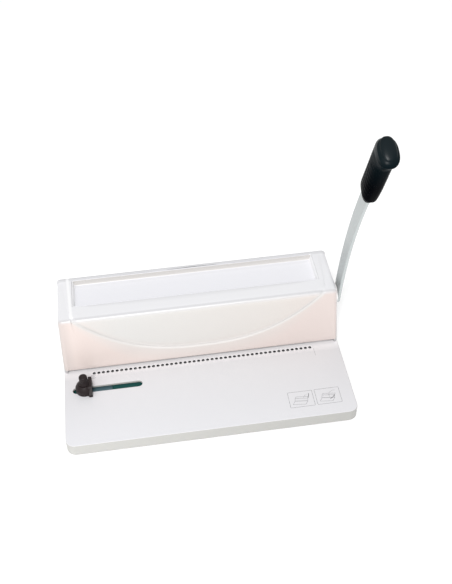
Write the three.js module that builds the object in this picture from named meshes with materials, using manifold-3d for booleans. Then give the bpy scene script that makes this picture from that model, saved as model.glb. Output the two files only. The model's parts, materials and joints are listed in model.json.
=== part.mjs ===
// Coil binding machine: a hand-lever punch that makes a row of round holes for plastic coils.
// Millimetres, +Z up, +X to the operator's right, +Y to the back.
// The origin is the middle of the flat underside of the base; the table top is BASE_HEIGHT above it.
import * as THREE from 'three';
import { mergeVertices } from 'three/addons/utils/BufferGeometryUtils.js';
import Module from 'manifold-3d';

const wasm = await Module();
wasm.setup();

// Driving dimensions
const PAPER_WIDTH = 297;
const SIDE_MARGIN = 34.5;
const TABLE_DEPTH = 119.5;
const HOOD_DEPTH = 86.5;
const HOOD_BACK_SETBACK = 4;
const BASE_HEIGHT = 17;
const HOOD_HEIGHT = 92;
const HOLE_PITCH = 6;
const GAUGE_ROW_AHEAD = 4.1;
const PUNCH_ROW_BEHIND = 15.9;
const SHAFT_BEHIND = 14.2;
const SHAFT_RISE = 64;
const LEVER_REACH = 222;
const GRIP_LENGTH = 113.3;
const THROAT_HEIGHT = 5;

// Clearances and cutting allowances
const SEAT_GAP = 0.3;
const RUN_GAP = 0.5;
const OVERRUN = 5;

// Table base
const BASE_WALL = 3;
const BASE_TOP = 3;
const BASE_CORNER = 12;
const BASE_BACK_CORNER = 5;
const BASE_EDGE = 0.8;
const GAUGE_HOLE_DIAMETER = 4;
const SLOT_LENGTH = 90;
const SLOT_WIDTH = 10;
const SLOT_REACH = 64.5;
const SLOT_AHEAD = 30.7;
const WELL_SIDE_INSET = 6.5;
const WELL_FRONT_BEHIND = 7.6;
const WELL_BACK_INSET = 17;
const PLATE_THICKNESS = 1.5;
const PLATE_BEAD_LENGTH = 190;
const PLATE_BEAD_DEPTH = 84;
const PLATE_BEAD_WIDTH = 5;
const PLATE_BEAD_SINK = 0.5;
const BOSS_DIAMETER = 10;
const BOSS_BORE = 3;
const BOSS_INSET = 15;
const REAR_BOSS_INSET = 10;
const REAR_BOSS_SIDE_INSET = 73;
const SMALL_SCREW_DIAMETER = 2.6;
const SMALL_HEAD_DIAMETER = 6.5;
const SMALL_HEAD_HEIGHT = 1.6;
const SMALL_SCREW_HOLE = 3.4;
const SMALL_SCREW_GRIP = 9;
const FOOT_DIAMETER = 18;
const FOOT_HEIGHT = 2.5;
const FOOT_INSET = 34;
const FOOT_SPIGOT_DIAMETER = 6;
const FOOT_SPIGOT_LENGTH = 3;
const FOOT_EDGE = 0.6;

// Hood
const HOOD_WALL = 3;
const HOOD_CORNER = 6;
const HOOD_BACK_CORNER = 4;
const HOOD_SIDE_SETBACK = 0.2;
const HOOD_DRAFT = 4.3;
const HOOD_CREST = 5;
const HOOD_FRONT_LEAN = 4;
const HOOD_LIP_HEIGHT = 5.5;
const HOOD_LEG = 5;
const CREASE_HEIGHT = 24.8;
const CREASE_END_INSET = 16.5;
const CREASE_STEP = 0.8;
const CREASE_POWER = 2.5;
const HOOD_BOSS_DIAMETER = 9;
const HOOD_BOSS_HEIGHT = 34;
const HOOD_BOSS_INSET = 10;
const HOOD_BOSS_SIDE_INSET = 18;
const TRAY_END_BAND = 19;
const TRAY_FRONT_BAND = 29.4;
const TRAY_BACK_BAND = 6.6;
const TRAY_DEPTH = 8;
const TRAY_WALL = 2;
const TRAY_CORNER = 2.5;
const REAR_OPENING_END_INSET = 28.5;
const REAR_OPENING_RISE = 15;
const REAR_OPENING_TOP_INSET = 17;
const REAR_COVER_LAP = 7;
const REAR_COVER_THICKNESS = 1.5;
const REAR_COVER_CORNER = 4;
const REAR_SCREW_INSET = 3.5;

// Punch unit
const PIN_DIAMETER = 4;
const PIN_HOLE_GAP = 0.3;
const DIE_THICKNESS = 5;
const DIE_FRONT_MARGIN = 8;
const DIE_BACK_MARGIN = 15;
const GUIDE_BAR_HEIGHT = 10;
const PUNCH_BAR_DEPTH = 16;
const HOLDER_THICKNESS = 3;
const PRESSURE_BAR_HEIGHT = 12;
const BAR_REST_LIFT = 18.5;
const PIN_TIP_REST = 0.6;
const PAPER_EDGE_MARGIN = 4.5;
const SPACER_WIDTH = 14;
const SIDE_PLATE_CLEARANCE = 3.5;
const SIDE_PLATE_THICKNESS = 4;
const SIDE_PLATE_HEADROOM = 13;
const SIDE_PLATE_FRONT_BEHIND = 7.9;
const SIDE_PLATE_BACK_INSET = 21;
const SIDE_PLATE_NOSE = 45;
const SIDE_FLANGE_WIDTH = 14;
const SIDE_FLANGE_THICKNESS = 3;
const DRAWER_NOTCH_HEADROOM = 2.2;
const FLANGE_SCREW_DIAMETER = 4;
const FLANGE_SCREW_HEAD = 7;
const FLANGE_SCREW_HEAD_HEIGHT = 2.4;
const FLANGE_SCREW_INSET = 13;
const FRAME_BOLT_DIAMETER = 2.8;
const FRAME_BOLT_HEAD = 5;
const FRAME_BOLT_HEAD_HEIGHT = 2;
const FRAME_BOLT_LENGTH = 14;
const TIE_ROD_DIAMETER = 8;
const TIE_ROD_SPIGOT = 5;
const TIE_ROD_INSET = 9;
const TIE_ROD_RISE = 45;
const POST_DIAMETER = 5.5;
const POST_INSET = 7.5;
const POST_HEAD = 9;
const POST_HEAD_HEIGHT = 5;
const SPRING_COIL_DIAMETER = 8.4;
const SPRING_WIRE = 1.2;
const SPRING_TURNS = 6;
const SPRING_POCKET_DIAMETER = 10.4;
const SPRING_POCKET_DEPTH = 8;
const HOLDER_SCREW_DIAMETER = 3;
const HOLDER_SCREW_HEAD = 5.4;
const HOLDER_SCREW_HEAD_HEIGHT = 1.5;
const HOLDER_SCREW_INSET = 17.5;
const HOLDER_SCREW_LENGTH = 9;

// Rack and pinion drive
const GEAR_MODULE = 1.5;
const PINION_TEETH = 14;
const TOOTH_ADDENDUM_SHARE = 0.8;
const TOOTH_ROOT_GAP = 0.4;
const TOOTH_BACKLASH = 0.5;
const PRESSURE_ANGLE = THREE.MathUtils.degToRad(20);
const GEAR_WIDTH = 7;
const GEAR_INSET = 16.5;
const RACK_BODY_DEPTH = 7;
const RACK_HEADROOM = 8;
const SHAFT_DIAMETER = 12;
const SHAFT_TAIL = 3;
const BEARING_WALL = 3;
const BEARING_FLANGE = 2.6;
const BEARING_FLANGE_THICKNESS = 1.6;
const CIRCLIP_WIDTH = 1.2;
const CIRCLIP_RIM = 2.2;

// Lever
const LEVER_SIDE_GAP = 1;
const LEVER_THICKNESS = 4;
const LEVER_WIDTH = 20;
const LEVER_TANG = 82;
const LEVER_END = 11;
const LEVER_END_CHAMFER = 2;
const LEVER_ROOT_LEAN = THREE.MathUtils.degToRad(11.5);
const LEVER_TOP_LEAN = THREE.MathUtils.degToRad(27);
const SHAFT_SQUARE = 7.6;
const HUB_DIAMETER = 26;
const LEVER_SCREW_DIAMETER = 3;
const LEVER_SCREW_HEAD = 5.6;
const LEVER_SCREW_HEAD_HEIGHT = 1.6;
const LEVER_SCREW_LENGTH = 14;
const GRIP_RISE = 13.4;
const GRIP_HALF_THICKNESS = 11;
const GRIP_END_SLOPE = 0.45;

// Chip drawer
const DRAWER_END_MARGIN = 1.5;
const DRAWER_WIDTH = 28;
const DRAWER_HEIGHT = 7;
const DRAWER_WALL = 1.5;
const DRAWER_FRONT = 4;
const DRAWER_PULL_WIDTH = 18;
const DRAWER_PULL_DEPTH = 1.6;
const DRAWER_PULL_HEIGHT = 3;
const RAIL_THICKNESS = 2;
const RAIL_HEIGHT = 5;

// Side guide
const STOP_INSET = 1.5;
const STOP_LENGTH = 25;
const STOP_AHEAD = 1.5;
const STOP_THICKNESS = 4.5;
const STOP_HEIGHT = 12;
const STOP_LOW_HEIGHT = 4;
const STOP_LOW_LENGTH = 8;
const GUIDE_TIP_REACH = 18;
const GUIDE_TIP_WIDTH = 10;
const GUIDE_FOOT_HEIGHT = 3;
const GUIDE_HUB_DIAMETER = 24;
const GUIDE_HUB_TOP_DIAMETER = 15;
const GUIDE_HUB_SHOULDER = 6;
const GUIDE_HUB_HEIGHT = 12;
const GUIDE_HUB_BULGE_SHARE = 0.3;
const GUIDE_SCREW_OFFSET = 9.5;
const GUIDE_SCREW_DIAMETER = 5;
const KNOB_DIAMETER = 11;
const KNOB_HEIGHT = 14.3;
const KNOB_DOME = 3;
const KNOB_SKIRT_DIAMETER = 12.4;
const KNOB_SKIRT_HEIGHT = 2.5;
const KNOB_BORE_DEPTH = 9;
const KNOB_FLUTES = 18;
const KNOB_FLUTE_DEPTH = 0.4;
const CARRIER_LEFT_REACH = 9;
const CARRIER_LENGTH = 43.5;
const CARRIER_WIDTH = 14;
const CARRIER_THICKNESS = 1.5;
const RAIL_CHANNEL_WIDTH = 20;
const RAIL_CHANNEL_HEIGHT = 6;
const RAIL_CHANNEL_WALL = 1.5;
const RAIL_CHANNEL_INSET = 4.5;
const RAIL_CHANNEL_OVERLAP = 34.5;

// Counts of facets
const PIN_SIDES = 6;
const GAUGE_HOLE_SIDES = 8;
const ROUND_SIDES = 24;
const CORNER_STEPS = 5;
const EDGE_STEPS = 3;
const SPRING_SIDES = 5;
const SPRING_STEPS_PER_TURN = 8;
const LEVER_STEPS = 14;
const CREASE_STEPS = 28;
const GRIP_SIDES = 24;

// Places worked out from the driving dimensions
const HOLE_COUNT = Math.floor(PAPER_WIDTH / HOLE_PITCH);
const HALF_WIDTH = PAPER_WIDTH / 2 + SIDE_MARGIN;
const BACK = (TABLE_DEPTH + HOOD_DEPTH + HOOD_BACK_SETBACK) / 2;
const FRONT = -BACK;
const TABLE = BASE_HEIGHT;
const TABLE_UNDERSIDE = TABLE - BASE_TOP;
const HOOD_TOP = TABLE + HOOD_HEIGHT;
const HOOD_FRONT = FRONT + TABLE_DEPTH;
const HOOD_BACK = BACK - HOOD_BACK_SETBACK;
const HOOD_FOOT_HALF = HALF_WIDTH - HOOD_SIDE_SETBACK;
const HOOD_TOP_HALF = HOOD_FOOT_HALF - HOOD_DRAFT;
const GAUGE_Y = HOOD_FRONT - GAUGE_ROW_AHEAD;
const PUNCH_Y = HOOD_FRONT + PUNCH_ROW_BEHIND;
const SHAFT_Y = PUNCH_Y + SHAFT_BEHIND;
const SHAFT_Z = TABLE + SHAFT_RISE;
const STOP_FACE_X = -PAPER_WIDTH / 2 + STOP_INSET;
const SLOT_Y = HOOD_FRONT - SLOT_AHEAD;
const SLOT_RIGHT_END = STOP_FACE_X + SLOT_REACH;
const WELL_FRONT = HOOD_FRONT + WELL_FRONT_BEHIND;
const WELL_BACK = HOOD_BACK - WELL_BACK_INSET;
const THROAT_TOP = TABLE + THROAT_HEIGHT;
const GUIDE_BAR_TOP = THROAT_TOP + GUIDE_BAR_HEIGHT;
const SIDE_PLATE_OUTER = HOOD_TOP_HALF - HOOD_WALL - SIDE_PLATE_CLEARANCE;
const SIDE_PLATE_FACE = SIDE_PLATE_OUTER - SIDE_PLATE_THICKNESS;
const BAR_FRONT = PUNCH_Y - PUNCH_BAR_DEPTH / 2;
const BAR_BACK = PUNCH_Y + PUNCH_BAR_DEPTH / 2;
const BAR_LOW = GUIDE_BAR_TOP + BAR_REST_LIFT;
const BAR_TOP = BAR_LOW + PRESSURE_BAR_HEIGHT;
const BAR_END = SIDE_PLATE_FACE - SEAT_GAP;
const POST_PLACE = SIDE_PLATE_FACE - POST_INSET;
const HOLDER_SCREW_PLACE = SIDE_PLATE_FACE - HOLDER_SCREW_INSET;
const GEAR_PLACE = SIDE_PLATE_FACE - GEAR_INSET;
const RACK_TOP = HOOD_TOP - RACK_HEADROOM;
const PITCH_RADIUS = GEAR_MODULE * PINION_TEETH / 2;
const TOOTH_PITCH = Math.PI * GEAR_MODULE;
const TOOTH_ADDENDUM = TOOTH_ADDENDUM_SHARE * GEAR_MODULE;
const RACK_PITCH_Y = SHAFT_Y - PITCH_RADIUS;
const LEVER_FACE = HALF_WIDTH + LEVER_SIDE_GAP;
const GRIP_START = LEVER_REACH + GRIP_RISE;
const GUIDE_SCREW_X = STOP_FACE_X - GUIDE_SCREW_OFFSET;
const CARRIER_LOW = TABLE_UNDERSIDE - RAIL_CHANNEL_HEIGHT + RAIL_CHANNEL_WALL;

// Solids: every helper returns a closed manifold-3d solid

function solidFrom(geometry) {
  const bare = geometry.clone();
  bare.deleteAttribute('normal');
  bare.deleteAttribute('uv');
  const merged = mergeVertices(bare);
  const vertProperties = new Float32Array(merged.getAttribute('position').array);
  const triVerts = new Uint32Array(merged.getIndex().array);
  return new wasm.Manifold(new wasm.Mesh({ numProp: 3, vertProperties, triVerts }));
}

function geometryFrom(solid) {
  const mesh = solid.getMesh();
  const geometry = new THREE.BufferGeometry();
  geometry.setAttribute('position', new THREE.BufferAttribute(mesh.vertProperties, 3));
  geometry.setIndex(new THREE.BufferAttribute(mesh.triVerts, 1));
  geometry.computeVertexNormals();
  return geometry;
}

function joined(first, ...others) {
  return others.reduce((sum, other) => sum.add(other), first);
}

function cut(body, ...tools) {
  return tools.reduce((rest, tool) => rest.subtract(tool), body);
}

// An outline of [u, v] points pushed from low to high along an axis.
// The outline lies in XY for axis z, in YZ for axis x and in XZ for axis y.
function extruded(points, axis, low, high) {
  const shape = new THREE.Shape(points.map(([u, v]) => new THREE.Vector2(u, v)));
  const geometry = new THREE.ExtrudeGeometry(shape, { depth: high - low, bevelEnabled: false });
  const turn = new THREE.Matrix4();
  if (axis === 'z') turn.makeTranslation(0, 0, low);
  if (axis === 'x') turn.set(0, 0, 1, low, 1, 0, 0, 0, 0, 1, 0, 0, 0, 0, 0, 1);
  if (axis === 'y') turn.set(1, 0, 0, 0, 0, 0, -1, high, 0, 1, 0, 0, 0, 0, 0, 1);
  return solidFrom(geometry.applyMatrix4(turn));
}

function box(x0, x1, y0, y1, z0, z1) {
  return extruded([[x0, y0], [x1, y0], [x1, y1], [x0, y1]], 'z', z0, z1);
}

// A regular polygon with a flat side facing along u
function circle(u, v, radius, sides = ROUND_SIDES) {
  const points = [];
  for (let i = 0; i < sides; i++) {
    const turn = (i + 0.5) * 2 * Math.PI / sides;
    points.push([u + radius * Math.cos(turn), v + radius * Math.sin(turn)]);
  }
  return points;
}

function rod(axis, u, v, diameter, low, high, sides = ROUND_SIDES) {
  return extruded(circle(u, v, diameter / 2, sides), axis, low, high);
}

function roundedRectangle(u0, u1, v0, v1, radius, steps = CORNER_STEPS, farRadius = radius) {
  const corners = [[u1 - radius, v0 + radius, -1, radius], [u1 - farRadius, v1 - farRadius, 0, farRadius],
    [u0 + farRadius, v1 - farRadius, 1, farRadius], [u0 + radius, v0 + radius, 2, radius]];
  const points = [];
  for (const [cu, cv, quarter, corner] of corners) {
    for (let i = 0; i <= steps; i++) {
      const turn = (quarter + i / steps) * Math.PI / 2;
      points.push([cu + corner * Math.cos(turn), cv + corner * Math.sin(turn)]);
    }
  }
  return points;
}

// Rings of points with equal counts, joined side by side and closed by a fan at each end
function lofted(rings) {
  const count = rings[0].length;
  const positions = rings.flat().flatMap((point) => point.toArray());
  const index = [];
  for (let ring = 0; ring + 1 < rings.length; ring++) {
    for (let i = 0; i < count; i++) {
      const a = ring * count + i;
      const b = ring * count + (i + 1) % count;
      index.push(a, b, b + count, a, b + count, a + count);
    }
  }
  const last = (rings.length - 1) * count;
  for (let i = 1; i + 1 < count; i++) {
    index.push(0, i + 1, i, last, last + i, last + i + 1);
  }
  const geometry = new THREE.BufferGeometry();
  geometry.setAttribute('position', new THREE.Float32BufferAttribute(positions, 3));
  geometry.setIndex(index);
  return solidFrom(geometry);
}

// A turned part: [radius, height] points from the axis out and back to the axis
function turned(points, sides = ROUND_SIDES) {
  const profile = points.map(([radius, height]) => new THREE.Vector2(radius, height));
  const geometry = new THREE.LatheGeometry(profile, sides);
  return solidFrom(geometry.rotateX(Math.PI / 2));
}

// Heights and insets of the rings that round off a top edge
function edgeRings(top, radius) {
  const rings = [];
  for (let i = 0; i <= EDGE_STEPS; i++) {
    const turn = i / EDGE_STEPS * Math.PI / 2;
    rings.push([top - radius + radius * Math.sin(turn), radius * (1 - Math.cos(turn))]);
  }
  return rings;
}

// The group and its materials

const machine = new THREE.Group();

const finish = {
  whitePlastic: [0xeeeef0, 0.38, 0],
  hoodPlastic: [0xf0e8e2, 0.28, 0],
  trayPlastic: [0xebecf3, 0.3, 0],
  blackPlastic: [0x16181a, 0.25, 0],
  guidePlastic: [0x37322f, 0.5, 0],
  leverSteel: [0xc8d0d0, 0.35, 0.7],
  toolSteel: [0x9a9da0, 0.4, 0.9],
  plateSteel: [0xb5b8ba, 0.5, 0.8],
  greenSteel: [0x123c37, 0.45, 0.3],
  carrierSteel: [0x5d7482, 0.35, 0.8],
  bronze: [0xb08a4a, 0.4, 0.9],
  rubber: [0x2a2a2a, 0.9, 0],
  drawerPlastic: [0xd8d8da, 0.45, 0],
};

const materials = {};
for (const [name, [color, roughness, metalness]] of Object.entries(finish)) {
  materials[name] = new THREE.MeshStandardMaterial({ color, roughness, metalness });
}

function add(name, solid, material) {
  const mesh = new THREE.Mesh(geometryFrom(solid), materials[material]);
  mesh.name = name;
  machine.add(mesh);
}

// Several alike pieces, numbered from 1
function addEach(name, solids, material) {
  solids.forEach((solid, i) => add(`${name}_${i + 1}`, solid, material));
}

// Screw with its head at the start and its shank along +axis or -axis
function screw(axis, u, v, seat, direction, diameter, length, headDiameter, headHeight) {
  const shankEnd = seat + direction * length;
  const headEnd = seat - direction * headHeight;
  const shank = rod(axis, u, v, diameter, Math.min(headEnd, shankEnd), Math.max(headEnd, shankEnd), PIN_SIDES);
  const head = rod(axis, u, v, headDiameter, Math.min(seat, headEnd), Math.max(seat, headEnd), 2 * PIN_SIDES);
  return shank.add(head);
}

// Table base

function baseOutline(inset) {
  return roundedRectangle(-HALF_WIDTH + inset, HALF_WIDTH - inset, FRONT + inset, BACK - inset, BASE_CORNER - inset,
    CORNER_STEPS, BASE_BACK_CORNER - inset);
}

function baseBlock() {
  const at = (inset, z) => baseOutline(inset).map(([x, y]) => new THREE.Vector3(x, y, z));
  return lofted([at(0, 0), ...edgeRings(TABLE, BASE_EDGE).map(([z, inset]) => at(inset, z))]);
}

function plateScrewPlaces() {
  const side = HALF_WIDTH - BOSS_INSET;
  const rear = HALF_WIDTH - REAR_BOSS_SIDE_INSET;
  return [[-side, FRONT + BOSS_INSET], [side, FRONT + BOSS_INSET],
    [-rear, BACK - REAR_BOSS_INSET], [rear, BACK - REAR_BOSS_INSET]];
}

function hoodScrewPlaces() {
  return [-1, 1].map((side) => [side * (HALF_WIDTH - HOOD_BOSS_SIDE_INSET), BACK - HOOD_BOSS_INSET]);
}

function holeRow(y, diameter, low, high, sides = PIN_SIDES) {
  const holes = [];
  for (let i = 0; i < HOLE_COUNT; i++) {
    const x = (i - (HOLE_COUNT - 1) / 2) * HOLE_PITCH;
    holes.push(rod('z', x, y, diameter, low, high, sides));
  }
  return wasm.Manifold.union(holes);
}

const drawerFrontY = PUNCH_Y - DRAWER_WIDTH / 2;
const drawerBackY = PUNCH_Y + DRAWER_WIDTH / 2;
const drawerLow = PLATE_THICKNESS + SEAT_GAP;
const drawerHigh = drawerLow + DRAWER_HEIGHT;

function baseShell() {
  const cavity = extruded(baseOutline(BASE_WALL), 'z', -OVERRUN, TABLE_UNDERSIDE);
  const well = box(-HALF_WIDTH + WELL_SIDE_INSET, HALF_WIDTH - WELL_SIDE_INSET, WELL_FRONT, WELL_BACK, 0, TABLE + OVERRUN);
  const slotLeft = SLOT_RIGHT_END - SLOT_LENGTH;
  const slot = roundedRectangle(slotLeft, SLOT_RIGHT_END, SLOT_Y - SLOT_WIDTH / 2, SLOT_Y + SLOT_WIDTH / 2, SLOT_WIDTH / 2);
  const drawerDoor = box(-HALF_WIDTH - OVERRUN, -HALF_WIDTH + BASE_WALL + OVERRUN,
    drawerFrontY - RUN_GAP, drawerBackY + RUN_GAP, PLATE_THICKNESS, drawerHigh + RUN_GAP);
  let shell = cut(baseBlock(), cavity);
  for (const [x, y] of plateScrewPlaces()) {
    shell = shell.add(rod('z', x, y, BOSS_DIAMETER, PLATE_THICKNESS + SEAT_GAP, TABLE_UNDERSIDE + BASE_TOP / 2));
  }
  for (const [x, y] of plateScrewPlaces()) {
    shell = cut(shell, rod('z', x, y, BOSS_BORE, 0, TABLE_UNDERSIDE, PIN_SIDES));
  }
  for (const [x, y] of hoodScrewPlaces()) {
    shell = cut(shell, rod('z', x, y, SMALL_SCREW_HOLE, 0, TABLE + OVERRUN, PIN_SIDES));
  }
  return cut(shell, well, drawerDoor, extruded(slot, 'z', 0, TABLE + OVERRUN),
    holeRow(GAUGE_Y, GAUGE_HOLE_DIAMETER, 0, TABLE + OVERRUN, GAUGE_HOLE_SIDES));
}

function footPlaces() {
  const x = HALF_WIDTH - FOOT_INSET;
  return [['front_left', -x, FRONT + FOOT_INSET], ['front_right', x, FRONT + FOOT_INSET],
    ['rear_left', -x, BACK - FOOT_INSET], ['rear_right', x, BACK - FOOT_INSET]];
}

function flangeScrewPlaces() {
  const x = SIDE_PLATE_FACE - SIDE_FLANGE_WIDTH / 2;
  return [-1, 1].map((side) => [side * x, HOOD_BACK - SIDE_PLATE_BACK_INSET - FLANGE_SCREW_INSET]);
}

// A shallow pressed bead that stiffens the middle of the base plate
function plateBead() {
  const ring = [0, PLATE_BEAD_WIDTH].map((inset) => {
    const x = PLATE_BEAD_LENGTH / 2 - inset;
    const y = PLATE_BEAD_DEPTH / 2 - inset;
    return extruded(roundedRectangle(-x, x, -y, y, BASE_CORNER - inset), 'z', -OVERRUN, PLATE_BEAD_SINK);
  });
  return cut(...ring);
}

function basePlate() {
  const outline = baseOutline(BASE_WALL + SEAT_GAP);
  const holes = plateScrewPlaces().map(([x, y]) => rod('z', x, y, SMALL_SCREW_HOLE, -OVERRUN, OVERRUN, PIN_SIDES));
  for (const [, x, y] of footPlaces()) {
    holes.push(rod('z', x, y, FOOT_SPIGOT_DIAMETER + 2 * SEAT_GAP, -OVERRUN, OVERRUN, 2 * PIN_SIDES));
  }
  for (const [x, y] of flangeScrewPlaces()) {
    holes.push(rod('z', x, y, FLANGE_SCREW_DIAMETER + 2 * SEAT_GAP, -OVERRUN, OVERRUN, PIN_SIDES));
  }
  return cut(extruded(outline, 'z', 0, PLATE_THICKNESS), plateBead(), ...holes);
}

function rubberFoot() {
  const radius = FOOT_DIAMETER / 2;
  const spigot = FOOT_SPIGOT_DIAMETER / 2;
  const top = -SEAT_GAP;
  return turned([[0, -FOOT_HEIGHT], [radius - FOOT_EDGE, -FOOT_HEIGHT], [radius, -FOOT_HEIGHT + FOOT_EDGE],
    [radius, top], [spigot, top], [spigot, FOOT_SPIGOT_LENGTH + top], [0, FOOT_SPIGOT_LENGTH + top]], 2 * PIN_SIDES);
}

add('base_shell', baseShell(), 'whitePlastic');
add('base_plate', basePlate(), 'plateSteel');
for (const [name, x, y] of footPlaces()) {
  add(`foot_${name}`, rubberFoot().translate([x, y, 0]), 'rubber');
}
addEach('base_plate_screw', plateScrewPlaces().map(([x, y]) => screw('z', x, y, -SEAT_GAP, 1,
  SMALL_SCREW_DIAMETER, SMALL_SCREW_GRIP, SMALL_HEAD_DIAMETER, SMALL_HEAD_HEIGHT)), 'plateSteel');

// Hood

// Outer face of the hood at a height: half width and front, both eased by the draft
function hoodRing(inset, z) {
  const share = (z - TABLE) / HOOD_HEIGHT;
  const half = HOOD_FOOT_HALF - HOOD_DRAFT * share - inset;
  const front = HOOD_FRONT + HOOD_FRONT_LEAN * share + inset;
  const smaller = Math.min(inset, HOOD_WALL);
  const outline = roundedRectangle(-half, half, front, HOOD_BACK - inset, HOOD_CORNER - smaller, CORNER_STEPS,
    HOOD_BACK_CORNER - smaller);
  return outline.map(([x, y]) => new THREE.Vector3(x, y, z));
}

function hoodBlock(inset, low) {
  const crest = HOOD_CREST - inset;
  return lofted([hoodRing(inset, low), ...edgeRings(HOOD_TOP - inset, crest).map(([z, edge]) => hoodRing(inset + edge, z))]);
}

// Region above the curved crease of the front: its height grows with a power of the distance from
// the middle, and the region closes along the crest
function creaseOutline() {
  const points = [];
  const rise = HOOD_HEIGHT - CREASE_HEIGHT;
  for (let i = 0; i <= CREASE_STEPS; i++) {
    const share = 2 * i / CREASE_STEPS - 1;
    points.push([share * (HOOD_TOP_HALF - CREASE_END_INSET), TABLE + CREASE_HEIGHT + rise * Math.abs(share) ** CREASE_POWER]);
  }
  return points;
}

const trayFront = HOOD_FRONT + TRAY_FRONT_BAND;
const trayBack = HOOD_BACK - TRAY_BACK_BAND;
const trayHalf = HOOD_TOP_HALF - TRAY_END_BAND;

const rearHalf = HOOD_TOP_HALF - REAR_OPENING_END_INSET;
const rearLow = TABLE + REAR_OPENING_RISE;
const rearHigh = HOOD_TOP - REAR_OPENING_TOP_INSET;

function trayOutline(inset) {
  return roundedRectangle(-trayHalf + inset, trayHalf - inset, trayFront + inset, trayBack - inset,
    Math.max(TRAY_CORNER - inset, TRAY_CORNER / 2), 2);
}

function hoodShell() {
  const bottom = TABLE + SEAT_GAP;
  const panel = hoodBlock(-CREASE_STEP, bottom)
    .intersect(extruded(creaseOutline(), 'y', HOOD_FRONT - OVERRUN, HOOD_FRONT + HOOD_WALL + HOOD_CREST));
  let shell = hoodBlock(0, bottom).add(panel);
  shell = cut(shell, hoodBlock(HOOD_WALL, bottom - OVERRUN));
  for (const [x, y] of hoodScrewPlaces()) {
    shell = shell.add(rod('z', x, y, HOOD_BOSS_DIAMETER, bottom, bottom + HOOD_BOSS_HEIGHT));
  }
  for (const [x, y] of hoodScrewPlaces()) {
    shell = cut(shell, rod('z', x, y, BOSS_BORE, bottom - OVERRUN, bottom + SMALL_SCREW_GRIP + OVERRUN, PIN_SIDES));
  }
  const mouthHalf = HOOD_FOOT_HALF - HOOD_LEG;
  const mouth = box(-mouthHalf, mouthHalf, HOOD_FRONT - OVERRUN, HOOD_FRONT + 2 * OVERRUN,
    TABLE - OVERRUN, TABLE + HOOD_LIP_HEIGHT);
  const trayHole = extruded(trayOutline(0), 'z', HOOD_TOP - HOOD_WALL - OVERRUN, HOOD_TOP + OVERRUN);
  const rearHole = box(-rearHalf, rearHalf, HOOD_BACK - HOOD_WALL - OVERRUN, HOOD_BACK + OVERRUN, rearLow, rearHigh);
  const shaftHole = rod('x', SHAFT_Y, SHAFT_Z, SHAFT_DIAMETER + 2 * RUN_GAP + BEARING_WALL,
    HOOD_TOP_HALF - OVERRUN, HALF_WIDTH + OVERRUN);
  return cut(shell, mouth, trayHole, rearHole, shaftHole);
}

function suppliesTray() {
  const rim = extruded(trayOutline(SEAT_GAP), 'z', HOOD_TOP - TRAY_DEPTH - TRAY_WALL, HOOD_TOP);
  return cut(rim, extruded(trayOutline(SEAT_GAP + TRAY_WALL), 'z', HOOD_TOP - TRAY_DEPTH, HOOD_TOP + OVERRUN));
}

const coverHalf = rearHalf + REAR_COVER_LAP;
const coverLow = rearLow - REAR_COVER_LAP;
const coverHigh = rearHigh + REAR_COVER_LAP;

function rearScrewPlaces() {
  const places = [];
  for (const side of [-1, 1]) {
    for (const z of [coverLow + REAR_SCREW_INSET, coverHigh - REAR_SCREW_INSET]) {
      places.push([side * (coverHalf - REAR_SCREW_INSET), z]);
    }
  }
  return places;
}

function rearCover() {
  const outline = roundedRectangle(-coverHalf, coverHalf, coverLow, coverHigh, REAR_COVER_CORNER);
  return extruded(outline, 'y', HOOD_BACK + SEAT_GAP, HOOD_BACK + SEAT_GAP + REAR_COVER_THICKNESS);
}

const rearScrewHoles = rearScrewPlaces().map(([x, z]) => rod('y', x, z, SMALL_SCREW_HOLE,
  HOOD_BACK - HOOD_WALL - OVERRUN, HOOD_BACK + OVERRUN, PIN_SIDES));
const rearScrews = rearScrewPlaces().map(([x, z]) => screw('y', x, z, HOOD_BACK + 2 * SEAT_GAP + REAR_COVER_THICKNESS, -1,
  SMALL_SCREW_DIAMETER, HOOD_WALL + REAR_COVER_THICKNESS, SMALL_HEAD_DIAMETER, SMALL_HEAD_HEIGHT / 2));

add('hood_shell', cut(hoodShell(), ...rearScrewHoles), 'hoodPlastic');
add('supplies_tray', suppliesTray(), 'trayPlastic');
add('rear_cover', cut(rearCover(), ...rearScrewHoles), 'hoodPlastic');
addEach('rear_cover_screw', rearScrews, 'plateSteel');
addEach('hood_screw', hoodScrewPlaces().map(([x, y]) => screw('z', x, y, TABLE_UNDERSIDE - SEAT_GAP, 1,
  SMALL_SCREW_DIAMETER, SMALL_SCREW_GRIP, SMALL_HEAD_DIAMETER, SMALL_HEAD_HEIGHT)), 'plateSteel');

// Frame: two side plates that stand on the base plate and carry the punch unit and the shaft

const plateFront = HOOD_FRONT + SIDE_PLATE_FRONT_BEHIND;
const plateBack = HOOD_BACK - SIDE_PLATE_BACK_INSET;
const plateTop = HOOD_TOP - SIDE_PLATE_HEADROOM;
const plateLow = PLATE_THICKNESS + SEAT_GAP;
const dieFront = PUNCH_Y - DIE_FRONT_MARGIN;
const dieBack = PUNCH_Y + DIE_BACK_MARGIN;
const dieLow = TABLE - DIE_THICKNESS;
const bearingDiameter = SHAFT_DIAMETER + 2 * BEARING_WALL;
const tieRodY = plateBack - TIE_ROD_INSET;
const tieRodZ = TABLE + TIE_ROD_RISE;

// [y, z] of the bolts that go through a side plate into the ends of the die and the guide bar
const frameBoltPlaces = [[PUNCH_Y + DIE_BACK_MARGIN / 2, TABLE - DIE_THICKNESS / 2],
  [BAR_BACK - FRAME_BOLT_DIAMETER, THROAT_TOP + GUIDE_BAR_HEIGHT / 2]];

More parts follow.
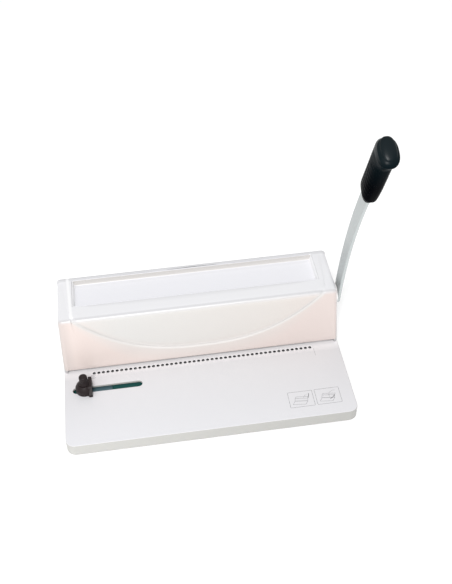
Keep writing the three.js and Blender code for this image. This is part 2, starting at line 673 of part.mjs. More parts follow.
function sidePlate(side) {
  const noseTop = TABLE + SIDE_PLATE_NOSE;
  const shoulder = SHAFT_Y - bearingDiameter;
  const outline = [[plateFront, plateLow], [plateBack, plateLow], [plateBack, tieRodZ + TIE_ROD_DIAMETER],
    [SHAFT_Y + bearingDiameter, plateTop], [shoulder, plateTop], [plateFront, noseTop]];
  const low = side > 0 ? SIDE_PLATE_FACE : -SIDE_PLATE_FACE - SIDE_PLATE_THICKNESS;
  const high = low + SIDE_PLATE_THICKNESS;
  const flangeStart = drawerBackY + RAIL_THICKNESS + OVERRUN;
  const flangeInner = SIDE_PLATE_FACE - SIDE_FLANGE_WIDTH;
  const flange = box(side > 0 ? flangeInner : -SIDE_PLATE_FACE - SIDE_PLATE_THICKNESS / 2,
    side > 0 ? SIDE_PLATE_FACE + SIDE_PLATE_THICKNESS / 2 : -flangeInner, flangeStart, plateBack, plateLow, plateLow + SIDE_FLANGE_THICKNESS);
  const cutLow = low - SIDE_FLANGE_WIDTH - OVERRUN;
  const cutHigh = high + SIDE_FLANGE_WIDTH + OVERRUN;
  const cuts = [rod('x', SHAFT_Y, SHAFT_Z, bearingDiameter + 2 * SEAT_GAP, cutLow, cutHigh),
    box(cutLow, cutHigh, plateFront - OVERRUN, flangeStart, 0, drawerHigh + DRAWER_NOTCH_HEADROOM),
    rod('x', tieRodY, tieRodZ, TIE_ROD_SPIGOT + 2 * SEAT_GAP, cutLow, cutHigh, 2 * PIN_SIDES)];
  for (const [y, z] of frameBoltPlaces) {
    cuts.push(rod('x', y, z, FRAME_BOLT_DIAMETER + 2 * SEAT_GAP, cutLow, cutHigh, PIN_SIDES));
  }
  for (const [x, y] of flangeScrewPlaces()) {
    cuts.push(rod('z', x, y, FLANGE_SCREW_DIAMETER + 2 * SEAT_GAP, 0, OVERRUN + plateLow, PIN_SIDES));
  }
  return cut(extruded(outline, 'x', low, high).add(flange), ...cuts);
}

add('frame_side_left', sidePlate(-1), 'plateSteel');
add('frame_side_right', sidePlate(1), 'plateSteel');
addEach('frame_foot_screw', flangeScrewPlaces().map(([x, y]) => screw('z', x, y,
  plateLow + SIDE_FLANGE_THICKNESS + SEAT_GAP, -1, FLANGE_SCREW_DIAMETER, plateLow + SIDE_FLANGE_THICKNESS + SEAT_GAP,
  FLANGE_SCREW_HEAD, FLANGE_SCREW_HEAD_HEIGHT)), 'toolSteel');

// Punch unit: die below the paper, guide bar above it, spacers that set the throat

const pinHole = PIN_DIAMETER + 2 * PIN_HOLE_GAP;

function boltHoles(bar) {
  const holes = [];
  for (const side of [-1, 1]) {
    const end = side * (BAR_END + OVERRUN);
    const depth = side * (BAR_END - FRAME_BOLT_LENGTH);
    for (const [y, z] of frameBoltPlaces) {
      holes.push(rod('x', y, z, FRAME_BOLT_DIAMETER + 2 * SEAT_GAP, Math.min(end, depth), Math.max(end, depth), PIN_SIDES));
    }
  }
  return cut(bar, ...holes);
}

function diePlate() {
  const plate = box(-BAR_END, BAR_END, dieFront, dieBack, dieLow, TABLE);
  return boltHoles(cut(plate, holeRow(PUNCH_Y, pinHole, dieLow - OVERRUN, TABLE + OVERRUN)));
}

function guideBar() {
  const bar = box(-BAR_END, BAR_END, BAR_FRONT, BAR_BACK, THROAT_TOP, GUIDE_BAR_TOP);
  const posts = [-1, 1].map((side) => rod('z', side * POST_PLACE, PUNCH_Y, POST_DIAMETER + 2 * SEAT_GAP,
    THROAT_TOP + GUIDE_BAR_HEIGHT / 2, GUIDE_BAR_TOP + OVERRUN, 2 * PIN_SIDES));
  return boltHoles(cut(bar, holeRow(PUNCH_Y, pinHole, THROAT_TOP - OVERRUN, GUIDE_BAR_TOP + OVERRUN), ...posts));
}

// One shim sets the throat: its ends space the bars apart and its back strip stops the paper
function throatShim() {
  const low = TABLE + SEAT_GAP;
  const high = THROAT_TOP - SEAT_GAP;
  const half = BAR_END - SPACER_WIDTH;
  return cut(box(-BAR_END, BAR_END, BAR_FRONT, BAR_BACK, low, high),
    box(-half, half, BAR_FRONT - OVERRUN, PUNCH_Y + PAPER_EDGE_MARGIN, low - OVERRUN, high + OVERRUN));
}

function frameBolts() {
  const seat = SIDE_PLATE_OUTER + SEAT_GAP;
  return [-1, 1].flatMap((side) => frameBoltPlaces.map(([y, z]) => screw('x', y, z, side * seat, -side,
    FRAME_BOLT_DIAMETER, FRAME_BOLT_LENGTH, FRAME_BOLT_HEAD, FRAME_BOLT_HEAD_HEIGHT)));
}

// Rod that ties the side plates together; its spigots are riveted in their holes
function tieRod() {
  const end = SIDE_PLATE_OUTER;
  return rod('x', tieRodY, tieRodZ, TIE_ROD_DIAMETER, -BAR_END, BAR_END)
    .add(rod('x', tieRodY, tieRodZ, TIE_ROD_SPIGOT, -end, end, 2 * PIN_SIDES));
}

add('die_plate', diePlate(), 'toolSteel');
add('punch_guide_bar', guideBar(), 'toolSteel');
add('throat_shim', throatShim(), 'plateSteel');
addEach('frame_bolt', frameBolts(), 'toolSteel');
add('tie_rod', tieRod(), 'plateSteel');

// Guide posts, whose heads stop the punch bar at its rest height, and its return springs

class Helix extends THREE.Curve {
  constructor(radius, low, high, turns) {
    super();
    Object.assign(this, { radius, low, high, turns });
  }

  getPoint(share, target = new THREE.Vector3()) {
    const turn = share * this.turns * 2 * Math.PI;
    const height = THREE.MathUtils.lerp(this.low, this.high, share);
    return target.set(this.radius * Math.cos(turn), this.radius * Math.sin(turn), height);
  }
}

function returnSpring() {
  const low = GUIDE_BAR_TOP + SEAT_GAP + SPRING_WIRE / 2;
  const high = BAR_LOW + SPRING_POCKET_DEPTH - SEAT_GAP - SPRING_WIRE / 2;
  const wire = new THREE.Shape(circle(0, 0, SPRING_WIRE / 2, SPRING_SIDES).map(([u, v]) => new THREE.Vector2(u, v)));
  const path = new Helix(SPRING_COIL_DIAMETER / 2, low, high, SPRING_TURNS);
  return solidFrom(new THREE.ExtrudeGeometry(wire, { steps: SPRING_TURNS * SPRING_STEPS_PER_TURN, extrudePath: path }));
}

function guidePost() {
  const head = BAR_TOP + SEAT_GAP;
  const shank = rod('z', 0, 0, POST_DIAMETER, THROAT_TOP + GUIDE_BAR_HEIGHT / 2 + SEAT_GAP, head + POST_HEAD_HEIGHT, 2 * PIN_SIDES);
  return shank.add(rod('z', 0, 0, POST_HEAD, head, head + POST_HEAD_HEIGHT, 2 * PIN_SIDES));
}

for (const [name, side] of [['left', -1], ['right', 1]]) {
  const place = [side * POST_PLACE, PUNCH_Y, 0];
  add(`guide_post_${name}`, guidePost().translate(place), 'toolSteel');
  add(`return_spring_${name}`, returnSpring().translate(place), 'toolSteel');
}

// Moving punch bar: the pins stand in a holder strip, screwed under the pressure bar that the racks push down

const holderHigh = BAR_LOW - SEAT_GAP;
const holderLow = holderHigh - HOLDER_THICKNESS;
const holderHalf = POST_PLACE - SPRING_POCKET_DIAMETER / 2 - SEAT_GAP;

function punchPins() {
  const holder = box(-holderHalf, holderHalf, BAR_FRONT, BAR_BACK, holderLow, holderHigh);
  const screws = [-1, 1].map((side) => rod('z', side * HOLDER_SCREW_PLACE, PUNCH_Y, HOLDER_SCREW_DIAMETER + 2 * SEAT_GAP,
    holderLow - OVERRUN, holderHigh + OVERRUN, PIN_SIDES));
  const pins = holeRow(PUNCH_Y, PIN_DIAMETER, THROAT_TOP + PIN_TIP_REST, holderLow + HOLDER_THICKNESS / 2);
  return cut(holder.add(pins), ...screws);
}

function pressureBar() {
  const cuts = [];
  for (const side of [-1, 1]) {
    const x = side * POST_PLACE;
    cuts.push(rod('z', x, PUNCH_Y, POST_DIAMETER + 2 * RUN_GAP, 0, BAR_TOP + OVERRUN, 2 * PIN_SIDES));
    cuts.push(rod('z', x, PUNCH_Y, SPRING_POCKET_DIAMETER, 0, BAR_LOW + SPRING_POCKET_DEPTH));
    cuts.push(rod('z', side * HOLDER_SCREW_PLACE, PUNCH_Y, HOLDER_SCREW_DIAMETER + 2 * SEAT_GAP, 0,
      BAR_LOW + HOLDER_SCREW_LENGTH, PIN_SIDES));
  }
  return cut(box(-BAR_END + RUN_GAP, BAR_END - RUN_GAP, BAR_FRONT, BAR_BACK, BAR_LOW, BAR_TOP), ...cuts);
}

// A straight rack whose teeth point back at the shaft; a gap between teeth lies at the shaft's height
function rack(side) {
  const tip = RACK_PITCH_Y + TOOTH_ADDENDUM;
  const root = RACK_PITCH_Y - TOOTH_ADDENDUM - TOOTH_ROOT_GAP;
  const back = root - RACK_BODY_DEPTH;
  const half = TOOTH_PITCH / 4 - TOOTH_BACKLASH / 4;
  const tipHalf = half - TOOTH_ADDENDUM * Math.tan(PRESSURE_ANGLE);
  const rootHalf = half + (TOOTH_ADDENDUM + TOOTH_ROOT_GAP) * Math.tan(PRESSURE_ANGLE);
  const low = BAR_TOP + SEAT_GAP;
  const first = Math.ceil((low + rootHalf - SHAFT_Z) / TOOTH_PITCH - 0.5);
  const last = Math.floor((RACK_TOP - rootHalf - SHAFT_Z) / TOOTH_PITCH - 0.5);
  const outline = [[back, low], [root, low]];
  for (let i = first; i <= last; i++) {
    const z = SHAFT_Z + (i + 0.5) * TOOTH_PITCH;
    outline.push([root, z - rootHalf], [tip, z - tipHalf], [tip, z + tipHalf], [root, z + rootHalf]);
  }
  outline.push([root, RACK_TOP], [back, RACK_TOP]);
  const middle = side * GEAR_PLACE;
  return extruded(outline, 'x', middle - GEAR_WIDTH / 2, middle + GEAR_WIDTH / 2);
}

add('pressure_bar', pressureBar(), 'toolSteel');
add('punch_pins', punchPins(), 'toolSteel');
addEach('holder_screw', [-1, 1].map((side) => screw('z', side * HOLDER_SCREW_PLACE, PUNCH_Y,
  holderLow - SEAT_GAP, 1, HOLDER_SCREW_DIAMETER, HOLDER_SCREW_LENGTH, HOLDER_SCREW_HEAD, HOLDER_SCREW_HEAD_HEIGHT)), 'toolSteel');
add('rack_left', rack(-1), 'toolSteel');
add('rack_right', rack(1), 'toolSteel');

// Shaft, bearings and pinions

function involuteAngle(radius, baseRadius) {
  const angle = Math.acos(Math.min(1, baseRadius / radius));
  return Math.tan(angle) - angle;
}

// Half of a tooth's angle at a radius: the involute flank, radial below the base circle
function toothHalfAngle(radius) {
  const baseRadius = PITCH_RADIUS * Math.cos(PRESSURE_ANGLE);
  const atPitch = (TOOTH_PITCH / 2 - TOOTH_BACKLASH / 2) / (2 * PITCH_RADIUS);
  return atPitch + involuteAngle(PITCH_RADIUS, baseRadius) - involuteAngle(Math.max(radius, baseRadius), baseRadius);
}

// [y, z] outline of the pinion, with one tooth that points straight to the front
function pinionOutline() {
  const tip = PITCH_RADIUS + TOOTH_ADDENDUM;
  const root = PITCH_RADIUS - TOOTH_ADDENDUM - TOOTH_ROOT_GAP;
  const radii = [root, PITCH_RADIUS * Math.cos(PRESSURE_ANGLE), PITCH_RADIUS, tip];
  const points = [];
  for (let tooth = 0; tooth < PINION_TEETH; tooth++) {
    const middle = Math.PI + tooth * 2 * Math.PI / PINION_TEETH;
    const flank = radii.map((radius) => [radius, middle - toothHalfAngle(radius)]);
    const other = radii.map((radius) => [radius, middle + toothHalfAngle(radius)]).reverse();
    points.push(...flank, ...other);
  }
  return points.map(([radius, turn]) => [SHAFT_Y + radius * Math.cos(turn), SHAFT_Z + radius * Math.sin(turn)]);
}

function pinion(side) {
  const middle = side * GEAR_PLACE;
  const low = middle - GEAR_WIDTH / 2;
  const high = middle + GEAR_WIDTH / 2;
  return cut(extruded(pinionOutline(), 'x', low, high),
    rod('x', SHAFT_Y, SHAFT_Z, SHAFT_DIAMETER + 2 * SEAT_GAP, low - OVERRUN, high + OVERRUN));
}

function bearing(side) {
  const inner = side * (SIDE_PLATE_FACE - SEAT_GAP);
  const outer = side * SIDE_PLATE_OUTER;
  const flangeInner = side * (SIDE_PLATE_FACE - SEAT_GAP - BEARING_FLANGE_THICKNESS);
  const sleeve = rod('x', SHAFT_Y, SHAFT_Z, bearingDiameter, Math.min(inner, outer), Math.max(inner, outer));
  const flange = rod('x', SHAFT_Y, SHAFT_Z, bearingDiameter + 2 * BEARING_FLANGE, Math.min(inner, flangeInner), Math.max(inner, flangeInner));
  return cut(sleeve.add(flange), rod('x', SHAFT_Y, SHAFT_Z, SHAFT_DIAMETER + RUN_GAP, Math.min(inner, outer) - OVERRUN, Math.max(inner, outer) + OVERRUN));
}

const shaftRightEnd = LEVER_FACE - SEAT_GAP;
const leverOuter = LEVER_FACE + LEVER_THICKNESS;

function squareSection(size) {
  const half = size / 2;
  return [[SHAFT_Y - half, SHAFT_Z - half], [SHAFT_Y + half, SHAFT_Z - half],
    [SHAFT_Y + half, SHAFT_Z + half], [SHAFT_Y - half, SHAFT_Z + half]];
}

function driveShaft() {
  const groove = SIDE_PLATE_OUTER + SEAT_GAP;
  const clipOuter = SHAFT_DIAMETER + CIRCLIP_RIM;
  const clipGroove = cut(rod('x', SHAFT_Y, SHAFT_Z, clipOuter, -groove - CIRCLIP_WIDTH - SEAT_GAP, -groove),
    rod('x', SHAFT_Y, SHAFT_Z, SHAFT_DIAMETER - CIRCLIP_RIM, -groove - OVERRUN, -groove + OVERRUN));
  const shaft = rod('x', SHAFT_Y, SHAFT_Z, SHAFT_DIAMETER, -SIDE_PLATE_OUTER - SHAFT_TAIL, shaftRightEnd);
  const square = extruded(squareSection(SHAFT_SQUARE), 'x', shaftRightEnd - OVERRUN, leverOuter - LEVER_SCREW_HEAD_HEIGHT - SEAT_GAP);
  const screwHole = rod('x', SHAFT_Y, SHAFT_Z, LEVER_SCREW_DIAMETER + 2 * SEAT_GAP, leverOuter - LEVER_SCREW_LENGTH - OVERRUN, leverOuter + OVERRUN, PIN_SIDES);
  return cut(shaft.add(square), clipGroove, screwHole);
}

function shaftCirclip() {
  const start = -(SIDE_PLATE_OUTER + SEAT_GAP) - SEAT_GAP / 2;
  return cut(rod('x', SHAFT_Y, SHAFT_Z, SHAFT_DIAMETER + CIRCLIP_RIM, start - CIRCLIP_WIDTH + SEAT_GAP / 2, start),
    rod('x', SHAFT_Y, SHAFT_Z, SHAFT_DIAMETER - CIRCLIP_RIM + 2 * SEAT_GAP, start - OVERRUN, start + OVERRUN));
}

add('drive_shaft', driveShaft(), 'toolSteel');
add('pinion_left', pinion(-1), 'toolSteel');
add('pinion_right', pinion(1), 'toolSteel');
add('shaft_bearing_left', bearing(-1), 'bronze');
add('shaft_bearing_right', bearing(1), 'bronze');
add('shaft_circlip', shaftCirclip(), 'toolSteel');

// Lever: a flat steel bar bent edgewise to an even curve, with a moulded grip

const leverRadius = LEVER_REACH / (LEVER_TOP_LEAN - LEVER_ROOT_LEAN);

// Centre line of the bar at a distance from the shaft: an arc up to the grip, straight inside it
function leverPoint(distance) {
  const lean = Math.min(LEVER_ROOT_LEAN + distance / leverRadius, LEVER_TOP_LEAN);
  const beyond = Math.max(distance - LEVER_REACH, 0);
  const y = SHAFT_Y - leverRadius * (Math.cos(LEVER_ROOT_LEAN) - Math.cos(lean)) - beyond * Math.sin(lean);
  const z = SHAFT_Z + leverRadius * (Math.sin(lean) - Math.sin(LEVER_ROOT_LEAN)) + beyond * Math.cos(lean);
  return { y, z, lean };
}

function leverSide(distance, offset) {
  const { y, z, lean } = leverPoint(distance);
  return [y - offset * Math.cos(lean), z - offset * Math.sin(lean)];
}

function leverArm() {
  const half = LEVER_WIDTH / 2;
  const length = LEVER_REACH + LEVER_TANG;
  const front = [];
  const rear = [];
  for (let i = 0; i <= LEVER_STEPS; i++) {
    const distance = i / LEVER_STEPS * length;
    front.push(leverSide(distance, half));
    rear.push(leverSide(distance, -half));
  }
  const end = [leverSide(LEVER_END_CHAMFER - LEVER_END, half), leverSide(-LEVER_END, half - LEVER_END_CHAMFER),
    leverSide(-LEVER_END, LEVER_END_CHAMFER - half), leverSide(LEVER_END_CHAMFER - LEVER_END, -half)];
  const outline = [...rear, ...front.reverse(), ...end];
  return cut(extruded(outline, 'x', LEVER_FACE, leverOuter),
    extruded(squareSection(SHAFT_SQUARE + 2 * SEAT_GAP), 'x', LEVER_FACE - OVERRUN, leverOuter + OVERRUN));
}

// Stations of the grip: share of its length, forward offset, half width and half thickness as shares
// of its half thickness. The lower end slopes down to the front and the right.
const GRIP_STATION_SHARES = [
  [0.00, 0.00, 0.55, 0.45],
  [0.02, -0.03, 0.92, 0.61],
  [0.07, -0.04, 1.11, 0.73],
  [0.14, 0.13, 1.25, 0.92],
  [0.35, 0.20, 1.27, 0.98],
  [0.74, 0.18, 1.33, 0.98],
  [0.805, 0.25, 1.38, 1.00],
  [0.855, 0.36, 1.53, 1.01],
  [0.905, 0.50, 1.61, 1.04],
  [0.948, 0.62, 1.50, 1.00],
  [0.975, 0.42, 1.18, 0.72],
  [0.99, 0.26, 0.90, 0.55],
  [1.00, 0.12, 0.40, 0.30],
];
const GRIP_ROUNDNESS_SHARE = 0.8;

function gripRing([along, forward, width, thickness]) {
  const { y, z, lean } = leverPoint(GRIP_START);
  const middleX = LEVER_FACE + LEVER_THICKNESS / 2;
  const ring = [];
  for (let i = 0; i < GRIP_SIDES; i++) {
    const turn = (i + 0.5) * 2 * Math.PI / GRIP_SIDES;
    const swell = (value) => Math.sign(value) * Math.abs(value) ** GRIP_ROUNDNESS_SHARE;
    const across = swell(Math.cos(turn)) * thickness * GRIP_HALF_THICKNESS;
    const ahead = forward * GRIP_HALF_THICKNESS - swell(Math.sin(turn)) * width * GRIP_HALF_THICKNESS;
    const up = along * GRIP_LENGTH - (across + ahead) * GRIP_END_SLOPE * (1 - along) ** 2;
    ring.push(new THREE.Vector3(middleX + across, y - ahead * Math.cos(lean) - up * Math.sin(lean),
      z - ahead * Math.sin(lean) + up * Math.cos(lean)));
  }
  return ring;
}

function leverGrip() {
  const half = LEVER_WIDTH / 2 + SEAT_GAP;
  const reach = [-OVERRUN, LEVER_TANG + SEAT_GAP].map((beyond) => LEVER_REACH + beyond);
  const pocket = [leverSide(reach[0], half), leverSide(reach[0], -half), leverSide(LEVER_REACH, -half),
    leverSide(reach[1], -half), leverSide(reach[1], half), leverSide(LEVER_REACH, half)].reverse();
  return cut(lofted(GRIP_STATION_SHARES.map(gripRing)),
    extruded(pocket, 'x', LEVER_FACE - SEAT_GAP, leverOuter + SEAT_GAP));
}

function hubRing() {
  const inner = rod('x', SHAFT_Y, SHAFT_Z, SHAFT_DIAMETER + 2 * RUN_GAP, 0, LEVER_FACE + OVERRUN);
  const ring = rod('x', SHAFT_Y, SHAFT_Z, HUB_DIAMETER, HOOD_TOP_HALF - OVERRUN, LEVER_FACE - RUN_GAP);
  return cut(ring, hoodBlock(-SEAT_GAP, TABLE), inner);
}

function leverScrew() {
  const seat = leverOuter - LEVER_SCREW_HEAD_HEIGHT;
  return screw('x', SHAFT_Y, SHAFT_Z, seat, -1, LEVER_SCREW_DIAMETER, LEVER_SCREW_LENGTH - LEVER_SCREW_HEAD_HEIGHT,
    LEVER_SCREW_HEAD, LEVER_SCREW_HEAD_HEIGHT);
}

add('lever_arm', leverArm(), 'leverSteel');
add('lever_grip', leverGrip(), 'blackPlastic');
add('lever_screw', leverScrew(), 'plateSteel');
add('lever_boss', hubRing(), 'whitePlastic');

// Chip drawer, pulled out to the left, and the rails that it runs between

const drawerRight = PAPER_WIDTH / 2 + DRAWER_END_MARGIN;

function chipDrawer() {
  const left = -HALF_WIDTH;
  const body = box(left, drawerRight, drawerFrontY, drawerBackY, drawerLow, drawerHigh);
  const hollow = box(left + DRAWER_FRONT, drawerRight - DRAWER_WALL, drawerFrontY + DRAWER_WALL, drawerBackY - DRAWER_WALL,
    drawerLow + DRAWER_WALL, drawerHigh + OVERRUN);
  const pull = box(left - OVERRUN, left + DRAWER_PULL_DEPTH, PUNCH_Y - DRAWER_PULL_WIDTH / 2, PUNCH_Y + DRAWER_PULL_WIDTH / 2,
    0, drawerLow + DRAWER_PULL_HEIGHT);
  return cut(body, hollow, pull);
}

function drawerRail(y) {
  const start = -SIDE_PLATE_FACE + OVERRUN;
  return box(start, drawerRight, y, y + RAIL_THICKNESS, PLATE_THICKNESS + SEAT_GAP, PLATE_THICKNESS + SEAT_GAP + RAIL_HEIGHT);
}

add('chip_drawer', chipDrawer(), 'drawerPlastic');
add('drawer_rail_front', drawerRail(drawerFrontY - RUN_GAP - RAIL_THICKNESS), 'plateSteel');
add('drawer_rail_back', drawerRail(drawerBackY + RUN_GAP), 'plateSteel');

// Side guide: a stop for the paper's left edge, clamped in the slot by a thumb knob

function sideGuide() {
  const low = TABLE + SEAT_GAP;
  const rear = SLOT_Y - STOP_AHEAD + STOP_LENGTH / 2;
  const front = SLOT_Y - STOP_AHEAD - STOP_LENGTH / 2;
  const stop = extruded([[front, low], [rear, low], [rear, TABLE + STOP_HEIGHT],
    [front + STOP_LOW_LENGTH, TABLE + STOP_HEIGHT], [front, TABLE + STOP_LOW_HEIGHT]], 'x', STOP_FACE_X - STOP_THICKNESS, STOP_FACE_X);
  const tip = STOP_FACE_X - GUIDE_TIP_REACH;
  const inside = STOP_FACE_X - STOP_THICKNESS / 2;
  const foot = extruded([[inside, front], [inside, rear], [tip, SLOT_Y + GUIDE_TIP_WIDTH / 2],
    [tip, SLOT_Y - GUIDE_TIP_WIDTH / 2]].reverse(), 'z', low, TABLE + GUIDE_FOOT_HEIGHT);
  const wide = GUIDE_HUB_DIAMETER / 2;
  const narrow = GUIDE_HUB_TOP_DIAMETER / 2;
  const shoulder = TABLE + GUIDE_HUB_SHOULDER;
  const top = TABLE + GUIDE_HUB_HEIGHT;
  const hub = turned([[0, low], [wide, low], [wide, shoulder],
    [wide - GUIDE_HUB_BULGE_SHARE * (wide - narrow), (shoulder + top) / 2], [narrow, top], [0, top]], ROUND_SIDES)
    .translate([GUIDE_SCREW_X, SLOT_Y, 0]);
  const bore = rod('z', GUIDE_SCREW_X, SLOT_Y, GUIDE_SCREW_DIAMETER + 2 * SEAT_GAP, 0, TABLE + STOP_HEIGHT + OVERRUN);
  const keepClear = box(STOP_FACE_X, STOP_FACE_X + GUIDE_HUB_DIAMETER, FRONT, BACK, 0, HOOD_TOP);
  return cut(joined(stop, foot, hub), bore, keepClear);
}

const knobLow = TABLE + GUIDE_HUB_HEIGHT + SEAT_GAP;
const guideScrewTop = knobLow + KNOB_BORE_DEPTH - SEAT_GAP;

// A fluted knob with a round skirt and a domed top
function guideKnob() {
  const sides = 2 * KNOB_FLUTES;
  const ring = (z, scale) => {
    const points = [];
    for (let i = 0; i < sides; i++) {
      const turn = i / sides * 2 * Math.PI;
      const radius = scale * (KNOB_DIAMETER / 2 - (i % 2) * KNOB_FLUTE_DEPTH);
      points.push(new THREE.Vector3(radius * Math.cos(turn), radius * Math.sin(turn), z));
    }
    return points;
  };
  const top = knobLow + KNOB_HEIGHT;
  const domeStart = top - KNOB_DOME;
  const body = lofted([ring(knobLow, 1), ring(domeStart, 1), ring(domeStart + KNOB_DOME / 2, Math.sqrt(3) / 2),
    ring(top, 1 / 3)]);
  const skirt = rod('z', 0, 0, KNOB_SKIRT_DIAMETER, knobLow, knobLow + KNOB_SKIRT_HEIGHT);
  const bore = rod('z', 0, 0, GUIDE_SCREW_DIAMETER + 2 * SEAT_GAP, 0, knobLow + KNOB_BORE_DEPTH);
  return cut(body.add(skirt), bore).translate([GUIDE_SCREW_X, SLOT_Y, 0]);
}

function guideScrew() {
  return rod('z', GUIDE_SCREW_X, SLOT_Y, GUIDE_SCREW_DIAMETER, CARRIER_LOW + CARRIER_THICKNESS + SEAT_GAP, guideScrewTop, 2 * PIN_SIDES);
}

function guideCarrier() {
  const left = GUIDE_SCREW_X - CARRIER_LEFT_REACH;
  return box(left, left + CARRIER_LENGTH, SLOT_Y - CARRIER_WIDTH / 2, SLOT_Y + CARRIER_WIDTH / 2,
    CARRIER_LOW, CARRIER_LOW + CARRIER_THICKNESS);
}

function guideRail() {
  const high = TABLE_UNDERSIDE - SEAT_GAP;
  const low = high - RAIL_CHANNEL_HEIGHT;
  const half = RAIL_CHANNEL_WIDTH / 2;
  const left = -HALF_WIDTH + RAIL_CHANNEL_INSET;
  const right = SLOT_RIGHT_END + RAIL_CHANNEL_OVERLAP;
  const channel = box(left, right, SLOT_Y - half, SLOT_Y + half, low, high);
  const hollow = box(left - OVERRUN, right + OVERRUN, SLOT_Y - half + RAIL_CHANNEL_WALL,
    SLOT_Y + half - RAIL_CHANNEL_WALL, low + RAIL_CHANNEL_WALL, high + OVERRUN);
  return cut(channel, hollow);
}

add('side_guide', sideGuide(), 'guidePlastic');
add('guide_knob', guideKnob(), 'guidePlastic');
add('guide_screw', guideScrew(), 'plateSteel');
add('guide_carrier', guideCarrier(), 'carrierSteel');
add('guide_rail', guideRail(), 'greenSteel');

export default machine;
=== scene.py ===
# %% [markdown]
# # Coil binding machine
#
# This lesson dresses the solid model of a small office machine. It punches a row of round holes
# along the edge of a stack of paper, into which a plastic coil is then turned. The solid model
# gives every piece its size and place. Here the visible pieces get their rounded edges, creases
# and finishes, and stay exactly where the model has them.
#
# All shapes are worked out in millimetres, as whole numpy arrays, and turned to metres at the end.

# %% Load the solid model
import json
import math

import bmesh
import bpy
import numpy as np
from mathutils import Matrix, Vector
from mathutils.geometry import delaunay_2d_cdt

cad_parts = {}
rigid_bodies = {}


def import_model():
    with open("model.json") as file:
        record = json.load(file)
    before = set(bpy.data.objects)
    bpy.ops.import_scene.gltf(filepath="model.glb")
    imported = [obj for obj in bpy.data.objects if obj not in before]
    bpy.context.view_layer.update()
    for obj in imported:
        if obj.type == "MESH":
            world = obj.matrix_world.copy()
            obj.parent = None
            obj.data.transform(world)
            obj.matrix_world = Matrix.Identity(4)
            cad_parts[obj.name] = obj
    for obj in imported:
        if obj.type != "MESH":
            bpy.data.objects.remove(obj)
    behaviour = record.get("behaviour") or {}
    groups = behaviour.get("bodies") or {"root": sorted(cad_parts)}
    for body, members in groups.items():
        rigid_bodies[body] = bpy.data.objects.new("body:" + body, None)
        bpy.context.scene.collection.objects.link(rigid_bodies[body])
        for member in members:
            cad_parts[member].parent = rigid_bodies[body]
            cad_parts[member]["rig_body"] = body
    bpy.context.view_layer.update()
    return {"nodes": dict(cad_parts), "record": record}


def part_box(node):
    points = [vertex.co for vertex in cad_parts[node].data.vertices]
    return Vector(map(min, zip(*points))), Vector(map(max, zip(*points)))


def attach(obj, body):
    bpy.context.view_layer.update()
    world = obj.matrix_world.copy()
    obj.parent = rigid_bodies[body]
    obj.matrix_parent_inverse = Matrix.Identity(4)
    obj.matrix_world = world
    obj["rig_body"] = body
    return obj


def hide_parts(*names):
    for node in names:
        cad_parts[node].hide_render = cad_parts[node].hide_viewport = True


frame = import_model()
NODES = frame["nodes"]
MM = 0.001

# %% [markdown]
# ## Camera
#
# The camera stands in front of the machine, a little to its left, and looks down at 43 degrees.
# Its place and turn are worked out once from the corners of the table, the hood and the row of
# holes. A lens of 55.6 mm on a 36 mm sensor gives the same strong perspective.

# %% Camera
LENS_MM = 55.57
CAMERA_PLACE = (-0.06128, -0.7942, 0.9045)
YAW, PITCH, ROLL = math.radians(6.72), math.radians(43.47), math.radians(1.88)


def camera_turn():
    """Columns are the camera's right, up and backward directions, from yaw, pitch and roll."""
    forward = Vector((math.sin(YAW) * math.cos(PITCH), math.cos(YAW) * math.cos(PITCH), -math.sin(PITCH)))
    right = Vector((math.cos(YAW), -math.sin(YAW), 0))
    down = forward.cross(right)
    rolled_right = right * math.cos(ROLL) + down * math.sin(ROLL)
    rolled_down = down * math.cos(ROLL) - right * math.sin(ROLL)
    return Matrix((rolled_right, -rolled_down, -forward)).transposed().to_4x4()


camera_data = bpy.data.cameras.new("camera")
camera_data.lens = LENS_MM
camera_data.sensor_width = 36
camera_data.clip_end = 50
camera = bpy.data.objects.new("camera", camera_data)
camera.matrix_world = Matrix.Translation(CAMERA_PLACE) @ camera_turn()
bpy.context.scene.collection.objects.link(camera)
bpy.context.scene.camera = camera
print("camera", [round(v, 3) for v in camera.matrix_world.to_euler()])

# %% [markdown]
# ## Shader formulas
#
# A finish is easier to read as a formula than as a list of node links. The class below wraps an
# output socket, so that `noise * 0.1 + 0.9` adds the Math nodes by itself. A `Finish` is a
# material with its main shader, and its `node` method makes every other node.

# %% Sockets that stand in formulas
class Value:
    """An output socket: sums, products, quotients and powers of it become Math nodes."""

    def __init__(self, finish, socket):
        self.finish, self.socket = finish, socket

    def maths(self, operation, *terms, clamp=False):
        """A Math node on these terms, in their order."""
        settings = {"operation": operation, "use_clamp": clamp}
        return self.finish.node("ShaderNodeMath", settings, dict(enumerate(terms)))

    def __add__(self, other):
        return self.maths("ADD", self, other)

    def __sub__(self, other):
        return self.maths("SUBTRACT", self, other)

    def __rsub__(self, other):
        return self.maths("SUBTRACT", other, self)

    def __mul__(self, other):
        return self.maths("MULTIPLY", self, other)

    def __truediv__(self, other):
        return self.maths("DIVIDE", self, other)

    def __pow__(self, other):
        return self.maths("POWER", self, other)

    __radd__ = __add__
    __rmul__ = __mul__

    def limited(self):
        """The value held between 0 and 1."""
        return self.maths("ADD", self, 0.0, clamp=True)

    def size(self):
        """The value without its sign."""
        return self.maths("ABSOLUTE", self)

    def rise(self, start, end):
        """0 up to start, 1 from end, straight in between; start may be above end."""
        ends = {"Value": self, "From Min": start, "From Max": end}
        return self.finish.node("ShaderNodeMapRange", {"clamp": True}, ends)


